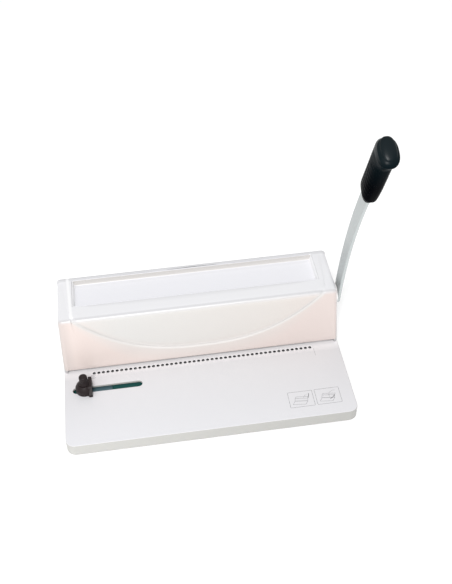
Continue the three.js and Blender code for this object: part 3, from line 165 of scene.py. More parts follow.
class Finish:
    """A material: uniform values are set on the shader's own sockets, the rest is linked."""

    def __init__(self, name, colour, roughness, metallic=0.0, shine=0.5):
        self.material = bpy.data.materials.new(name)
        self.material.use_nodes = True
        self.tree = self.material.node_tree
        self.shader = self.tree.nodes["Principled BSDF"]
        self.colour = colour
        self.material.diffuse_color = (*colour, 1)
        self.set(Base_Color=(*colour, 1), Roughness=roughness, Metallic=metallic)
        self.set(Specular_IOR_Level=shine)

    def set(self, **values):
        """Uniform values on the shader's own sockets; underscores stand for spaces."""
        for key, value in values.items():
            self.shader.inputs[key.replace("_", " ")].default_value = value

    def use(self, **links):
        """Links values to the shader; underscores stand for spaces."""
        for key, value in links.items():
            self.tree.links.new(value.socket, self.shader.inputs[key.replace("_", " ")])
        return self

    def node(self, kind, settings=None, sockets=None, output=None):
        """Adds a node: its settings come first, then the values or links of its sockets."""
        node = self.tree.nodes.new(kind)
        for key, value in (settings or {}).items():
            setattr(node, key, value)
        for key, value in (sockets or {}).items():
            live = [s for s in node.inputs if s.enabled]
            socket = live[key] if isinstance(key, int) else next(s for s in live if s.name == key)
            if isinstance(value, Value):
                self.tree.links.new(value.socket, socket)
            else:
                socket.default_value = value
        return Value(self, next(s for s in node.outputs if s.enabled and output in (None, s.name)))

    def place(self, scale=(1, 1, 1)):
        """Object coordinates in metres, stretched along the axes."""
        spot = self.node("ShaderNodeTexCoord", output="Object")
        return self.node("ShaderNodeMapping", sockets={"Vector": spot, "Scale": scale})

    def axes(self):
        """Object coordinates in metres, as three numbers."""
        spot = self.node("ShaderNodeTexCoord", output="Object")
        return [self.node("ShaderNodeSeparateXYZ", sockets={"Vector": spot}, output=axis) for axis in "XYZ"]

    def noise(self, scale, detail=2.0, rough=0.5, place=None):
        """Noise around one half, about `scale` blobs to the metre."""
        sockets = {"Vector": place or self.place(), "Scale": scale, "Detail": detail, "Roughness": rough}
        return self.node("ShaderNodeTexNoise", sockets=sockets, output="Fac")

    def mixed(self, share, first, second):
        """A colour that goes from first to second as share goes from 0 to 1."""
        first, second = (c if isinstance(c, Value) else (*c, 1) for c in (first, second))
        sockets = {"Factor": share, "A": first, "B": second}
        return self.node("ShaderNodeMix", {"data_type": "RGBA"}, sockets, "Result")

    def layered(self, colour, *layers):
        """A colour with others over it, each in its share."""
        for share, over in layers:
            colour = self.mixed(share, colour, over)
        return colour

    def bump(self, height, depth):
        """Links a bump of that depth in metres."""
        sockets = {"Height": height, "Distance": depth, "Strength": 1.0}
        return self.use(Normal=self.node("ShaderNodeBump", sockets=sockets))


def shade(colour, factor):
    """A colour made darker, or lighter with a factor above 1."""
    return tuple(part * factor for part in colour)


print("shader helpers ready")

# %% [markdown]
# ## Plastics
#
# The table is a cool white with a fine spark-eroded grain, which comes from the steel mould. The
# hood is polished, and its front is warmer than its cool crest and top: that warmth is painted
# warm light. Both have almost no texture at arm's length, so the noise moves colour by one or two
# percent only, and the grain is a bump of a few microns.

# %% Moulded plastic
def moulded(finish, grain, depth, clouds=18, change=0.02, colour=None):
    """Slow clouds in the colour where none is given, and fine grain in the bump and roughness."""
    if colour is None:
        darker = shade(finish.colour, 1 - change)
        colour = finish.mixed(finish.noise(clouds), darker, finish.colour)
    fine = finish.noise(grain, 3, 0.6)
    rough = finish.shader.inputs["Roughness"].default_value
    finish.use(Base_Color=colour, Roughness=(fine - 0.5) * 0.12 + rough)
    return finish.bump(fine, depth)


# Painted light: the boss is a whiter white than the other plastics, against the shade beside the lever.
boss_plastic = moulded(Finish("boss_plastic", (0.95, 0.92, 0.91), 0.36), 2200, 0.00001)
drawer_plastic = moulded(Finish("drawer_plastic", (0.66, 0.66, 0.67), 0.5), 2600, 0.00003)
print("moulded plastic ready")

# %% [markdown]
# The mould's polish differs from face to face, and the white is changed by painted light and
# shade. Each change is a fade along one axis, given by where it starts and where it is complete,
# in metres. The table's top gets painted shade towards the hood and to the right, and painted
# light just in front of the hood's lip; its walls and the rounding of its top edge get painted
# shade, and its holes are painted dark inside, a painted shade.

# %% Table plastic
TABLE_WHITE, TABLE_PAINTED_SHADE, NEAR_HOOD_PAINTED_LIGHT = (0.752, 0.754, 0.783), (0.648, 0.638, 0.650), (0.82, 0.80, 0.81)
WALL_PAINTED_SHADE, HOLE_PAINTED_SHADE = (0.486, 0.483, 0.463), (0.02, 0.02, 0.022)
LEFT_TO_RIGHT, FRONT_TO_HOOD, NEAR_HOOD = (-0.18, 0.18), (-0.105, 0.012), (0.002, 0.013)
OVER_EDGE, INTO_HOLE = (0.01695, 0.0166), (0.01699, 0.01694)
ROW_Y, ROW_WIDTH, ROW_LENGTH = 0.0104, (0.0030, 0.0027), (0.154, 0.152)

table_plastic = Finish("table_plastic", TABLE_WHITE, 0.42)
table_x, table_y, table_z = table_plastic.axes()
to_right = table_x.rise(*LEFT_TO_RIGHT)
# Painted shade: the top darkens towards the hood and towards the right, with a faint painted warm reflection
# of the hood.
painted_shade_share = table_y.rise(*FRONT_TO_HOOD) * 0.75 + to_right * 0.35
# Painted shade: the walls and the rounding of the top edge are darker than the top, and darker still towards
# the right.
wall_painted_shade = table_plastic.mixed(to_right, shade(WALL_PAINTED_SHADE, 1.04), shade(WALL_PAINTED_SHADE, 0.81))
# Painted shade: inside the row of holes the plastic is nearly black.
near_row = table_x.size().rise(*ROW_LENGTH) * (table_y - ROW_Y).size().rise(*ROW_WIDTH)
# Painted light: a paler strip on the top just in front of the hood's lip, against the shadow there.
table_colour = table_plastic.layered(
    TABLE_WHITE, (painted_shade_share, TABLE_PAINTED_SHADE), (table_y.rise(*NEAR_HOOD), NEAR_HOOD_PAINTED_LIGHT),
    (table_z.rise(*OVER_EDGE), wall_painted_shade), (near_row * table_z.rise(*INTO_HOLE), HOLE_PAINTED_SHADE))
moulded(table_plastic, 2600, 0.00002, colour=table_colour)
print("table plastic", table_plastic.material.name)

# %% Tray plastic
TRAY_WHITE, BACK_WALL_PAINTED_SHADE, SIDE_WALL_PAINTED_LIGHT = (0.80, 0.80, 0.835), (0.59, 0.57, 0.55), (0.96, 0.96, 0.97)
TO_BACK_WALL, UP_BACK_WALL, ON_SIDE_WALL = (0.0855, 0.0922), (0.1015, 0.1075), (0.1560, 0.1570)
ON_BACK_WALL, BELOW_RIM = (0.0910, 0.0920), (0.1084, 0.1080)

tray_plastic = Finish("tray_plastic", TRAY_WHITE, 0.30)
dish_x, dish_y, dish_z = tray_plastic.axes()
# Painted shade: the back wall of the dish is darker than its floor, and darkest at its top.
up_wall = dish_z.rise(*UP_BACK_WALL)
back_wall_painted_shade = tray_plastic.mixed(up_wall, shade(BACK_WALL_PAINTED_SHADE, 1.12), shade(BACK_WALL_PAINTED_SHADE, 0.92))
tray_colour = tray_plastic.layered(
    # Painted shade: the floor darkens towards the back wall.
    TRAY_WHITE, (dish_y.rise(*TO_BACK_WALL), shade(TRAY_WHITE, 0.86)),
    # Painted light: the side walls are paler than the floor.
    (dish_x.size().rise(*ON_SIDE_WALL), SIDE_WALL_PAINTED_LIGHT),
    (dish_y.rise(*ON_BACK_WALL) * dish_z.rise(*BELOW_RIM), back_wall_painted_shade))
moulded(tray_plastic, 2200, 0.00001, colour=tray_colour)
print("tray plastic", tray_plastic.material.name)

# %% [markdown]
# The hood's front is cream inside the curved crease and blushes outside it; its warmth over the
# cool top is painted warm light, and it is painted darker towards the right, a painted shade. The
# crease itself catches light, so a painted highlight, a paler band, follows it. Its height is a
# power of the distance from the middle, and the distance from the curve is the height difference
# over the curve's slant.

# %% The crease's curve, in millimetres
CREASE_LOW, CREASE_RISE, CREASE_REACH, CREASE_POWER = 41.8, 67.2, 162.0, 2.5

hood_plastic = Finish("hood_plastic", (0.656, 0.634, 0.608), 0.30)
hood_x, hood_y, hood_z = hood_plastic.axes()
away = hood_x.size() / (CREASE_REACH * MM)
bent = away ** (CREASE_POWER - 1)
slant = bent * (CREASE_POWER * CREASE_RISE / CREASE_REACH)
under_crease = bent * away * (CREASE_RISE * MM) + (CREASE_LOW * MM - hood_z)
from_crease = under_crease / (slant * slant + 1.0) ** 0.5
print("crease at the middle", CREASE_LOW, "mm high")

# %% The hood's front and top
CREAM_LEFT, CREAM_RIGHT = (0.640, 0.640, 0.625), (0.635, 0.592, 0.560)
BLUSH_LEFT, BLUSH_RIGHT = (0.725, 0.628, 0.590), (0.640, 0.560, 0.532)
CREASE_HIGHLIGHT, COOL_WHITE, TOP_LINE_HIGHLIGHT = (0.735, 0.712, 0.692), (0.79, 0.79, 0.81), (0.93, 0.93, 0.935)
ENDS_PAINTED_SHADE, LEFT_PAINTED_SHADE, LEG_PAINTED_SHADOW = (0.44, 0.395, 0.38), (0.52, 0.465, 0.445), (0.43, 0.42, 0.425)
HOOD_ACROSS, TO_ENDS, AT_ENDS, AT_LEFT = (-0.17, 0.18), (0.10, 0.182), (0.1785, 0.1815), (-0.164, -0.176)
BELOW_CREASE, CREASE_ENDS = (-0.012, 0.028), (0.35, 0.85)
BAND_ABOVE, BAND_BELOW = (-0.0062, -0.0020), (0.0036, 0.0012)
LEG_BELOW, FRONT_BELOW, FRONT_BEFORE = (0.0226, 0.0220), (0.1085, 0.104), (0.026, 0.0185)
BEHIND_TRAY, ON_CREST, TOP_LINE = (0.0925, 0.0935), (0.0240, 0.0214), (0.0028, 0.0008)

# Painted shade: cream and blush are darker towards the right; the front's warmth over the cool top is painted
# warm light.
rightward = hood_x.rise(*HOOD_ACROSS)
cream = hood_plastic.mixed(rightward, CREAM_LEFT, CREAM_RIGHT)
blush = hood_plastic.mixed(rightward, BLUSH_LEFT, BLUSH_RIGHT)
blushing = (under_crease.rise(*BELOW_CREASE) + hood_x.size().rise(*TO_ENDS) * 0.5).limited()
# Painted highlight along the crease, fading towards its ends.
crease_highlight = hood_plastic.mixed(away.rise(*CREASE_ENDS), CREASE_HIGHLIGHT, shade(CREASE_HIGHLIGHT, 0.87))
# Painted shade darkens the front at both ends, and more at the left end.
front_colour = hood_plastic.layered(
    cream, (blushing, blush), (from_crease.rise(*BAND_ABOVE) * from_crease.rise(*BAND_BELOW), crease_highlight),
    (hood_x.size().rise(*AT_ENDS) * 0.9, ENDS_PAINTED_SHADE), (hood_x.rise(*AT_LEFT) * 0.55, LEFT_PAINTED_SHADE),
    # Painted shadow: the legs beside the mouth are as dark as the shadow under the lip.
    (hood_z.rise(*LEG_BELOW), LEG_PAINTED_SHADOW))
# Painted highlight: a bright line on the top near the left end.
beside_line = (hood_x * -1 - hood_y * 0.054 - 0.1599).size()
# Painted shade: the strip behind the tray and the crest are darker than the rest of the top.
top_colour = hood_plastic.layered(
    COOL_WHITE, (hood_y.rise(*BEHIND_TRAY), shade(COOL_WHITE, 0.88)),
    (beside_line.rise(*TOP_LINE) * 0.8, TOP_LINE_HIGHLIGHT), (hood_y.rise(*ON_CREST), shade(COOL_WHITE, 0.75)))
on_front = hood_y.rise(*FRONT_BEFORE) * hood_z.rise(*FRONT_BELOW)
moulded(hood_plastic, 2200, 0.000008, colour=hood_plastic.mixed(on_front, top_colour, front_colour))
print("hood plastic", hood_plastic.material.name)

# %% [markdown]
# The grip is a black moulding that swallows almost all light; only its domed end is polished,
# and its head is a lighter teal, a painted sheen. The side guide and its knob are a dull
# brown-black. Rubber feet are matt and dusty.

# %% Dark plastics and rubber
HEAD_PAINTED_SHEEN, TO_HEAD, ON_DOME = (0.003, 0.008, 0.0105), (0.335, 0.392), (0.386, 0.398)
grip_plastic = Finish("grip_plastic", (0.0005, 0.0009, 0.0018), 0.24, shine=0.2)
grip_z = grip_plastic.axes()[2]
# Painted sheen: the colour turns a lighter teal from the neck to the head.
grip_colour = grip_plastic.mixed(grip_z.rise(*TO_HEAD), grip_plastic.colour, HEAD_PAINTED_SHEEN)
moulded(grip_plastic, 900, 0.000006, colour=grip_colour)
grip_plastic.set(IOR=1.05, Coat_Roughness=0.3)
grip_plastic.use(Coat_Weight=grip_z.rise(*ON_DOME) * 0.5)
guide_plastic = Finish("guide_plastic", (0.024, 0.0175, 0.018), 0.40, shine=0.15)
moulded(guide_plastic, 1500, 0.00004, change=0.25)
rubber = moulded(Finish("rubber", (0.02, 0.02, 0.02), 0.85, shine=0.2), 900, 0.0001, change=0.4)
print("dark plastics ready")

# %% [markdown]
# ## Metals
#
# The lever is a steel bar with a satin light grey coat. Ground tool steel shows fine lines along
# its length, zinc plating shows soft cloudy crystals, and the strips in the slot are dark green
# and blued steel.

# %% Metals
def brushed(finish, stretch, depth, change=0.12):
    """Ground metal: noise drawn out along one axis, in the colour, the roughness and the bump."""
    lines = finish.noise(90, 4, 0.6, finish.place(stretch))
    rough = finish.shader.inputs["Roughness"].default_value
    darker, lighter = shade(finish.colour, 1 - change), shade(finish.colour, 1 + change)
    finish.use(Base_Color=finish.mixed(lines, darker, lighter), Roughness=lines * 0.2 + (rough - 0.1))
    return finish.bump(lines, depth)


METALS = {"lever_steel": ((0.495, 0.53, 0.53), 0.40, 0.25, (14, 1.2, 1.2), 0.00001, 0.05),
          "tool_steel": ((0.42, 0.43, 0.44), 0.34, 1.0, (0.6, 16, 16), 0.00002, 0.12),
          "plated_steel": ((0.60, 0.61, 0.63), 0.38, 1.0, (3, 3, 3), 0.00001, 0.08),
          "green_steel": ((0.018, 0.094, 0.086), 0.40, 0.0, (1, 14, 14), 0.00001, 0.12),
          "carrier_steel": ((0.096, 0.168, 0.195), 0.34, 0.3, (1, 14, 14), 0.00001, 0.12),
          "bronze": ((0.43, 0.26, 0.085), 0.45, 1.0, (6, 6, 6), 0.00004, 0.12)}
BY_SLOT = {name: brushed(Finish(name, colour, rough, metallic), stretch, depth, change)
           for name, (colour, rough, metallic, stretch, depth, change) in METALS.items()}
print(len(BY_SLOT), "metals ready")

# %% Every solid gets a finish by its slot in the record
BY_SLOT.update(white_plastic=table_plastic, hood_plastic=hood_plastic, tray_plastic=tray_plastic,
               drawer_plastic=drawer_plastic, black_plastic=grip_plastic, guide_plastic=guide_plastic,
               rubber=rubber)
SLOT_OF = {part["node"]: part["material_slot"] for part in frame["record"]["subparts"]}
for name, solid in NODES.items():
    solid.data.materials.clear()
    solid.data.materials.append(BY_SLOT[SLOT_OF[name]].material)
print(len(NODES), "solids dressed")

# %% [markdown]
# ## From arrays to meshes
#
# A moulded shell is easiest as a grid: columns stand around its plan, rows run over its section.
# The helpers below number the corners of the grid's faces, and make one object from arrays of
# points and faces. Each piece then says which body it moves with, which slot of the record it
# takes its finish from, and which solids it stands for.

# %% Mesh helpers
def grid_faces(rows, columns, first=0, close_rows=False):
    """Four-sided faces between neighbouring rows; the last column joins the first."""
    row = np.arange(rows if close_rows else rows - 1)[:, None]
    column = np.arange(columns)[None, :]
    above, beside = (row + 1) % rows, (column + 1) % columns
    low, high = row * columns, above * columns
    corners = [low + column, low + beside, high + beside, high + column]
    return first + np.stack(np.broadcast_arrays(*corners), -1)


def mesh_of(name, points, *face_lists):
    """A mesh from points in millimetres and lists of faces. Points that no face uses are dropped,
    and the faces are turned round if they enclose a negative volume."""
    points = np.asarray(points, float).reshape(-1, 3)
    groups = [np.asarray(group).reshape(-1, np.asarray(group).shape[-1]) for group in face_lists]
    fans = np.concatenate([np.stack([g[:, 0], g[:, k], g[:, k + 1]], -1)
                           for g in groups for k in range(1, g.shape[1] - 1)])
    a, b, c = (points[fans[:, k]] for k in range(3))
    if (a * np.cross(b, c)).sum() < 0:
        groups = [g[:, ::-1] for g in groups]
    used, number = np.unique(np.concatenate([g.ravel() for g in groups]), return_inverse=True)
    parts = np.split(number, np.cumsum([g.size for g in groups])[:-1])
    faces = [face for part, g in zip(parts, groups) for face in part.reshape(g.shape).tolist()]
    mesh = bpy.data.meshes.new(name)
    mesh.from_pydata((points[used] * MM).tolist(), [], faces)
    mesh.validate()
    return mesh


def piece(mesh, node, sharp, finish=None, body=None, slot=None):
    """An object at the origin in place of a solid, or beside them where node is None. Body, slot
    and finish are the solid's unless given; edges sharper than `sharp` degrees stay crisp."""
    slot = slot or SLOT_OF[node]
    mesh.shade_smooth()
    mesh.set_sharp_from_angle(angle=math.radians(sharp))
    mesh.materials.clear()
    mesh.materials.append((finish or BY_SLOT[slot]).material)
    thing = bpy.data.objects.new(mesh.name, mesh)
    bpy.context.scene.collection.objects.link(thing)
    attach(thing, body or NODES[node]["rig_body"])
    if node:
        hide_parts(node)
    print(f"{thing.name}: {len(mesh.polygons)} faces")
    return thing


def softened(name, node, edge, segments=3, limit=28):
    """A copy of a solid with its loose triangles merged and a small bevel along its edges."""
    work = bmesh.new()
    work.from_mesh(NODES[node].data)
    bmesh.ops.remove_doubles(work, verts=work.verts, dist=1e-6)
    bmesh.ops.dissolve_limit(work, angle_limit=math.radians(0.5), verts=work.verts, edges=work.edges)
    mesh = bpy.data.meshes.new(name)
    work.to_mesh(mesh)
    work.free()
    thing = piece(mesh, node, limit)
    bevel = thing.modifiers.new("edges", "BEVEL")
    bevel.width, bevel.segments = edge * MM, segments
    bevel.limit_method, bevel.angle_limit = "ANGLE", math.radians(limit)
    bevel.harden_normals = True


def low_high(node):
    """The lowest and highest corner of a solid, in millimetres."""
    return [np.array(corner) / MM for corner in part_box(node)]


print("mesh helpers ready")

# %% [markdown]
# ## Columns around a rounded rectangle
#
# The table, the hood and the tray all have a rounded rectangle as their plan. Each column of the
# grid has a place on the smaller rectangle through the corners' centres, and a direction in
# which the outline lies from it. The outline with any corner radius is then place + radius x
# direction, and an inner wall is the same sum with a smaller radius.

# %% Plan columns
CORNER_TURNS = np.array([5, 8.8, 10.4, 18, 26, 34, 42, 50, 58, 66, 74, 82.0])


def plan_columns(xs, ys, turns=CORNER_TURNS):
    """Columns counterclockwise from the front left. xs and ys rise and end at the corners' centres."""
    def like(values, number):
        return np.full(len(values), float(number))

    right, left, front, back = xs[-1], xs[0], ys[0], ys[-1]
    arcs = [np.radians(start + turns if k % 2 == 0 else start + 90 - turns[::-1])
            for k, start in enumerate((-90, 0, 90, 180))]
    x = np.concatenate([xs, like(turns, right), like(ys, right), like(turns, right), xs[::-1],
                        like(turns, left), like(ys, left), like(turns, left)])
    y = np.concatenate([like(xs, front), like(turns, front), ys, like(turns, back), like(xs, back),
                        like(turns, back), ys[::-1], like(turns, front)])
    turn = np.concatenate([like(xs, -np.pi / 2), arcs[0], like(ys, 0), arcs[1], like(xs, np.pi / 2),
                           arcs[2], like(ys, np.pi), arcs[3]])
    return x, y, np.cos(turn), np.sin(turn)


def spaced(*stops, step):
    """Numbers that include every stop, with even steps of about `step` between them."""
    runs = [np.linspace(a, b, max(2, round(abs(b - a) / step) + 1))[:-1] for a, b in zip(stops, stops[1:])]
    return np.append(np.concatenate(runs), float(stops[-1]))


def cut_gap(rows, columns, outside, inside, cells):
    """A gap through both skins of a shell. outside and inside are its (low, high) rows on each
    skin, cells its columns. Gives a mask of the faces to drop and the strip that lines the gap."""
    number = np.arange(rows * columns).reshape(rows, columns)
    gone = np.zeros((rows, columns), bool)
    loops = []
    for low, high in (outside, inside):
        gone[min(low, high):max(low, high), cells[0]:cells[-1]] = True
        way = 1 if high > low else -1
        up, down = np.arange(low, high, way), np.arange(high, low, -way)
        loops.append(np.concatenate([number[low, cells[:-1]], number[up, cells[-1]],
                                     number[high, cells[:0:-1]], number[down, cells[0]]]))
    outer, inner = loops
    return gone, np.stack([outer, np.roll(outer, -1), np.roll(inner, -1), inner], -1)


def ring(plan, half, front, back, radius, z):
    """A rounded rectangle at a height; plan runs from -1 to 1 in x and from 0 to 1 in y."""
    x, y, nx, ny = plan
    return np.stack([x * (half - radius) + radius * nx,
                     front + radius + y * (back - front - 2 * radius) + radius * ny, z + 0 * x], -1)


def filled(*loops):
    """Triangles that fill the flat region between loops of [x, y]: a constrained Delaunay mesh,
    of which the triangles stay whose middle has an odd number of edges to its right."""
    stacked = np.concatenate(loops)
    starts = np.cumsum([0] + [len(loop) for loop in loops])
    edges = np.concatenate([np.stack([np.arange(a, b), np.roll(np.arange(a, b), -1)], -1)
                            for a, b in zip(starts, starts[1:])])
    found = delaunay_2d_cdt([Vector(point) for point in stacked.tolist()], edges.tolist(), [], 0, 1e-7)
    origin = np.array([source[0] for source in found[3]])
    triangles = origin[np.array(found[2])]
    middle = stacked[triangles].mean(1)[:, None]
    start, end = stacked[edges[:, 0]][None], stacked[edges[:, 1]][None]
    spans = (start[..., 1] > middle[..., 1]) != (end[..., 1] > middle[..., 1])
    rise = np.where(end[..., 1] == start[..., 1], 1, end[..., 1] - start[..., 1])
    cross_x = start[..., 0] + (middle[..., 1] - start[..., 1]) / rise * (end[..., 0] - start[..., 0])
    triangles = triangles[(spans & (cross_x > middle[..., 0])).sum(1) % 2 == 1]
    a, b, c = (stacked[triangles[:, k]] for k in range(3))
    area = (b - a)[:, 0] * (c - a)[:, 1] - (b - a)[:, 1] * (c - a)[:, 0]
    return np.where(area[:, None] > 0, triangles, triangles[:, ::-1])


def revolved(name, section, centre, axis, sides, relief=None):
    """A turned part: section lists (height along the axis, radius). A radius of zero at an end is
    a pole, and otherwise the section is a closed loop. relief(turn, height, radius) gives the
    changed height and radius."""
    section = np.array(section, float)
    poles = section[0, 1] == 0
    turn = np.arange(sides) * 2 * np.pi / sides
    height, radius = (np.broadcast_to(section[:, k:k + 1], (len(section), sides)).copy() for k in (0, 1))
    if relief:
        height, radius = relief(turn[None, :], height, radius)
    parts = [radius * np.cos(turn), radius * np.sin(turn), height]
    order = {"z": (0, 1, 2), "x": (2, 0, 1), "y": (1, 2, 0)}[axis]
    points = np.stack([parts[k] for k in order], -1) + np.array(centre)
    rows = len(section)
    if not poles:
        return mesh_of(name, points, grid_faces(rows, sides, close_rows=True))
    body = grid_faces(rows - 2, sides, first=sides)
    beside = np.roll(np.arange(sides), -1)
    last = (rows - 2) * sides
    start_fan = np.stack([np.zeros(sides, int), sides + beside, sides + np.arange(sides)], -1)
    end_fan = np.stack([np.full(sides, last + sides), last + np.arange(sides), last + beside], -1)
    return mesh_of(name, points, body, start_fan, end_fan)


print("plan helpers ready")

# %% [markdown]
# ## Hood
#
# The hood is one moulding: walls that lean in slightly, a rounded crest, a flat top with a long
# opening for the supplies tray, and inside it the same surfaces 3 mm further in. Its section is
# a closed loop, so the grid closes in both directions.
#
# A curved crease runs over its front: the panel above it is a little proud, ends in a small
# rounded drop, and a soft slope leads out to the lower part. The crease climbs over the crest
# near the ends and runs back along the top. Rows of the grid follow the crease, which keeps it
# crisp. Three gaps are cut: the mouth for the paper, the opening at the back and the shaft's.

# %% Sizes of the hood
hood_low, hood_high = low_high("hood_shell")
TABLE_TOP = 17.0
HOOD_BOTTOM, HOOD_TOP, HOOD_BACK = float(hood_low[2]), float(hood_high[2]), float(hood_high[1])
HOOD_RISE = HOOD_TOP - TABLE_TOP
HALF_AT_TABLE, HOOD_DRAFT = 182.8, 4.3
FRONT_AT_TABLE, FRONT_LEAN = 14.5, 4.0
HOOD_CORNER, HOOD_BACK_CORNER, HOOD_CREST, HOOD_WALL = 6.0, 4.0, 5.0, 3.0
LIP_HEIGHT, LEG_INSET, HEM, COLUMN_STEP = 22.5, 5.0, 0.8, 2.4
PANEL_PROUD, PANEL_DROP, GROOVE_DEPTH, TOP_GROOVE_DEPTH = 0.8, 4.0, 0.2, 0.1
TRAY_HALF, TRAY_FRONT, TRAY_BACK, TRAY_CORNER = 159.5, 43.9, 94.4, 2.5
REAR_HALF, REAR_LOW, REAR_HIGH = 150.0, 32.0, 92.0
SHAFT_Y, SHAFT_Z, SHAFT_WINDOW = 44.6, 81.0, 8.0
print("hood", hood_low.round(1), hood_high.round(1))

# %% Columns of the hood
core_x = HALF_AT_TABLE - HOOD_CORNER
core_front, core_back = FRONT_AT_TABLE + HOOD_CORNER, HOOD_BACK - HOOD_CORNER
hood_xs = spaced(-core_x, -REAR_HALF, REAR_HALF, core_x, step=COLUMN_STEP)
hood_ys = spaced(core_front, SHAFT_Y - SHAFT_WINDOW, SHAFT_Y + SHAFT_WINDOW, core_back, step=COLUMN_STEP)
plan_x, plan_y, plan_nx, plan_ny = plan_columns(hood_xs, hood_ys)
COLUMNS = len(plan_x)
back_corner = (plan_ny > 1e-6) & (np.abs(plan_nx) > 1e-6)
window_end = SHAFT_Y + SHAFT_WINDOW
along_side = np.clip((plan_y - window_end) / (core_back - window_end), 0, 1)
along_back = np.clip((np.abs(plan_x) - REAR_HALF) / (core_x - REAR_HALF), 0, 1) * (plan_ny > 0.5)
out_x = np.sign(plan_x) * np.where(back_corner, 1, along_back)
out_y = np.where(back_corner, 1, along_side * (np.abs(plan_ny) < 1e-6))


def hood_outline(inset, z):
    """Plan of the hood at a height: the walls lean in, the columns of the gaps keep their place,
    and at the back the corners' centres lie further out, because their radius is smaller."""
    share = (z - TABLE_TOP) / HOOD_RISE
    beyond_x = np.maximum(np.abs(plan_x) - REAR_HALF, 0)
    beyond_y = np.maximum(SHAFT_Y - SHAFT_WINDOW - plan_y, 0)
    x = plan_x - np.sign(plan_x) * beyond_x * HOOD_DRAFT * share / (core_x - REAR_HALF)
    y = plan_y + beyond_y * FRONT_LEAN * share / (SHAFT_Y - SHAFT_WINDOW - core_front)
    kept = np.minimum(inset, HOOD_WALL)
    out = HOOD_CORNER - HOOD_BACK_CORNER - (inset - kept)
    radius = np.where(back_corner, HOOD_BACK_CORNER - kept, HOOD_CORNER - inset)
    return np.stack([x + out * out_x + radius * plan_nx, y + out * out_y + radius * plan_ny, z + 0 * x], -1)


faces_front, faces_back = plan_ny < -0.2, plan_ny > 0.2
print(COLUMNS, "columns")

# %% The section of the hood: wall, crest, top
WALL_LENGTH = HOOD_TOP - HOOD_CREST - HOOD_BOTTOM
CREST_LENGTH = HOOD_CREST * np.pi / 2
tray_x = np.clip(plan_x / core_x, -1, 1) * (TRAY_HALF - TRAY_CORNER) + TRAY_CORNER * plan_nx
tray_mid = (TRAY_FRONT + TRAY_BACK) / 2
tray_span = (TRAY_BACK - TRAY_FRONT) / 2 - TRAY_CORNER
tray_share = 2 * (plan_y - core_front) / (core_back - core_front) - 1
tray_y = tray_mid + tray_share * tray_span + TRAY_CORNER * plan_ny
TRAY_EDGE = np.stack([tray_x, tray_y, np.full(COLUMNS, HOOD_TOP)], -1)
CREST_END = hood_outline(HOOD_CREST, np.full(COLUMNS, HOOD_TOP))
TOP_LENGTH = np.linalg.norm(TRAY_EDGE - CREST_END, axis=-1)


def hood_section(length):
    """Point at a length along the section, for every column: up the wall, round the crest, and
    straight over the top to the tray's edge. Also the turn of the surface: 0 on the wall, a
    quarter turn on the top."""
    turn = np.clip((length - WALL_LENGTH) / HOOD_CREST, 0, np.pi / 2)
    z = HOOD_BOTTOM + np.minimum(length, WALL_LENGTH) + HOOD_CREST * np.sin(turn)
    point = hood_outline(HOOD_CREST * (1 - np.cos(turn)), z)
    over = np.clip((length - WALL_LENGTH - CREST_LENGTH) / TOP_LENGTH, 0, 1)[..., None]
    return point * (1 - over) + TRAY_EDGE * over, turn


print("wall", round(WALL_LENGTH, 1), "mm, crest", round(CREST_LENGTH, 1), "mm")

# %% Where the crease runs
def crease_height(x):
    """Height of the crease over the front: lowest in the middle, up with a power of the distance."""
    return CREASE_LOW + (HOOD_TOP - CREASE_LOW) * np.abs(x / CREASE_REACH) ** CREASE_POWER


def front_crease():
    """Length along the section at which a front column meets the crease, and the crease's slope."""
    z = np.full(COLUMNS, 80.0)
    for _ in range(12):
        x = hood_outline(0, np.minimum(z, HOOD_TOP))[:, 0]
        z = np.minimum(crease_height(x), HOOD_TOP)
    on_wall = z - HOOD_BOTTOM
    crest_start = HOOD_TOP - HOOD_CREST
    on_crest = WALL_LENGTH + (z - crest_start) / HOOD_CREST * CREST_LENGTH
    slope = CREASE_POWER * (crease_height(x) - CREASE_LOW) / np.maximum(np.abs(x), 1)
    return np.where(z < crest_start, on_wall, on_crest), slope * (z < HOOD_TOP)


TOP_LINE_Y, TOP_LINE_X = [18.5, 21.3, 45, 72, 95], [162, 164, 167.2, 170, 172.3]
TOP_STEPS = 240


def top_crease():
    """Length at which a column meets the line that the crease follows back along the top."""
    share = np.linspace(0, 1, TOP_STEPS + 1)[:, None, None]
    path = CREST_END * (1 - share) + TRAY_EDGE * share
    inside = np.abs(path[..., 0]) < np.interp(path[..., 1], TOP_LINE_Y, TOP_LINE_X)
    return WALL_LENGTH + CREST_LENGTH + inside.argmax(0) / TOP_STEPS * TOP_LENGTH


wall_crease, crease_slope = front_crease()
front_columns = faces_front & (wall_crease < WALL_LENGTH + CREST_LENGTH - 0.01)
crease_at = np.where(front_columns, wall_crease, top_crease())
crease_slope = np.where(front_columns, crease_slope, 0)
SMOOTHED_COLUMNS, SMOOTHED_REACH = 7, 12
kernel = np.hanning(SMOOTHED_COLUMNS) / np.hanning(SMOOTHED_COLUMNS).sum()
crease_smooth = np.convolve(np.tile(crease_at, 3), kernel, "same")[COLUMNS:2 * COLUMNS]
near_end = np.abs(np.abs(plan_x) - core_x) < SMOOTHED_REACH
crease_at = np.where(near_end, crease_smooth, crease_at)
print("crease meets the crest at x", round(float(np.abs(plan_x[front_columns]).max()), 1))

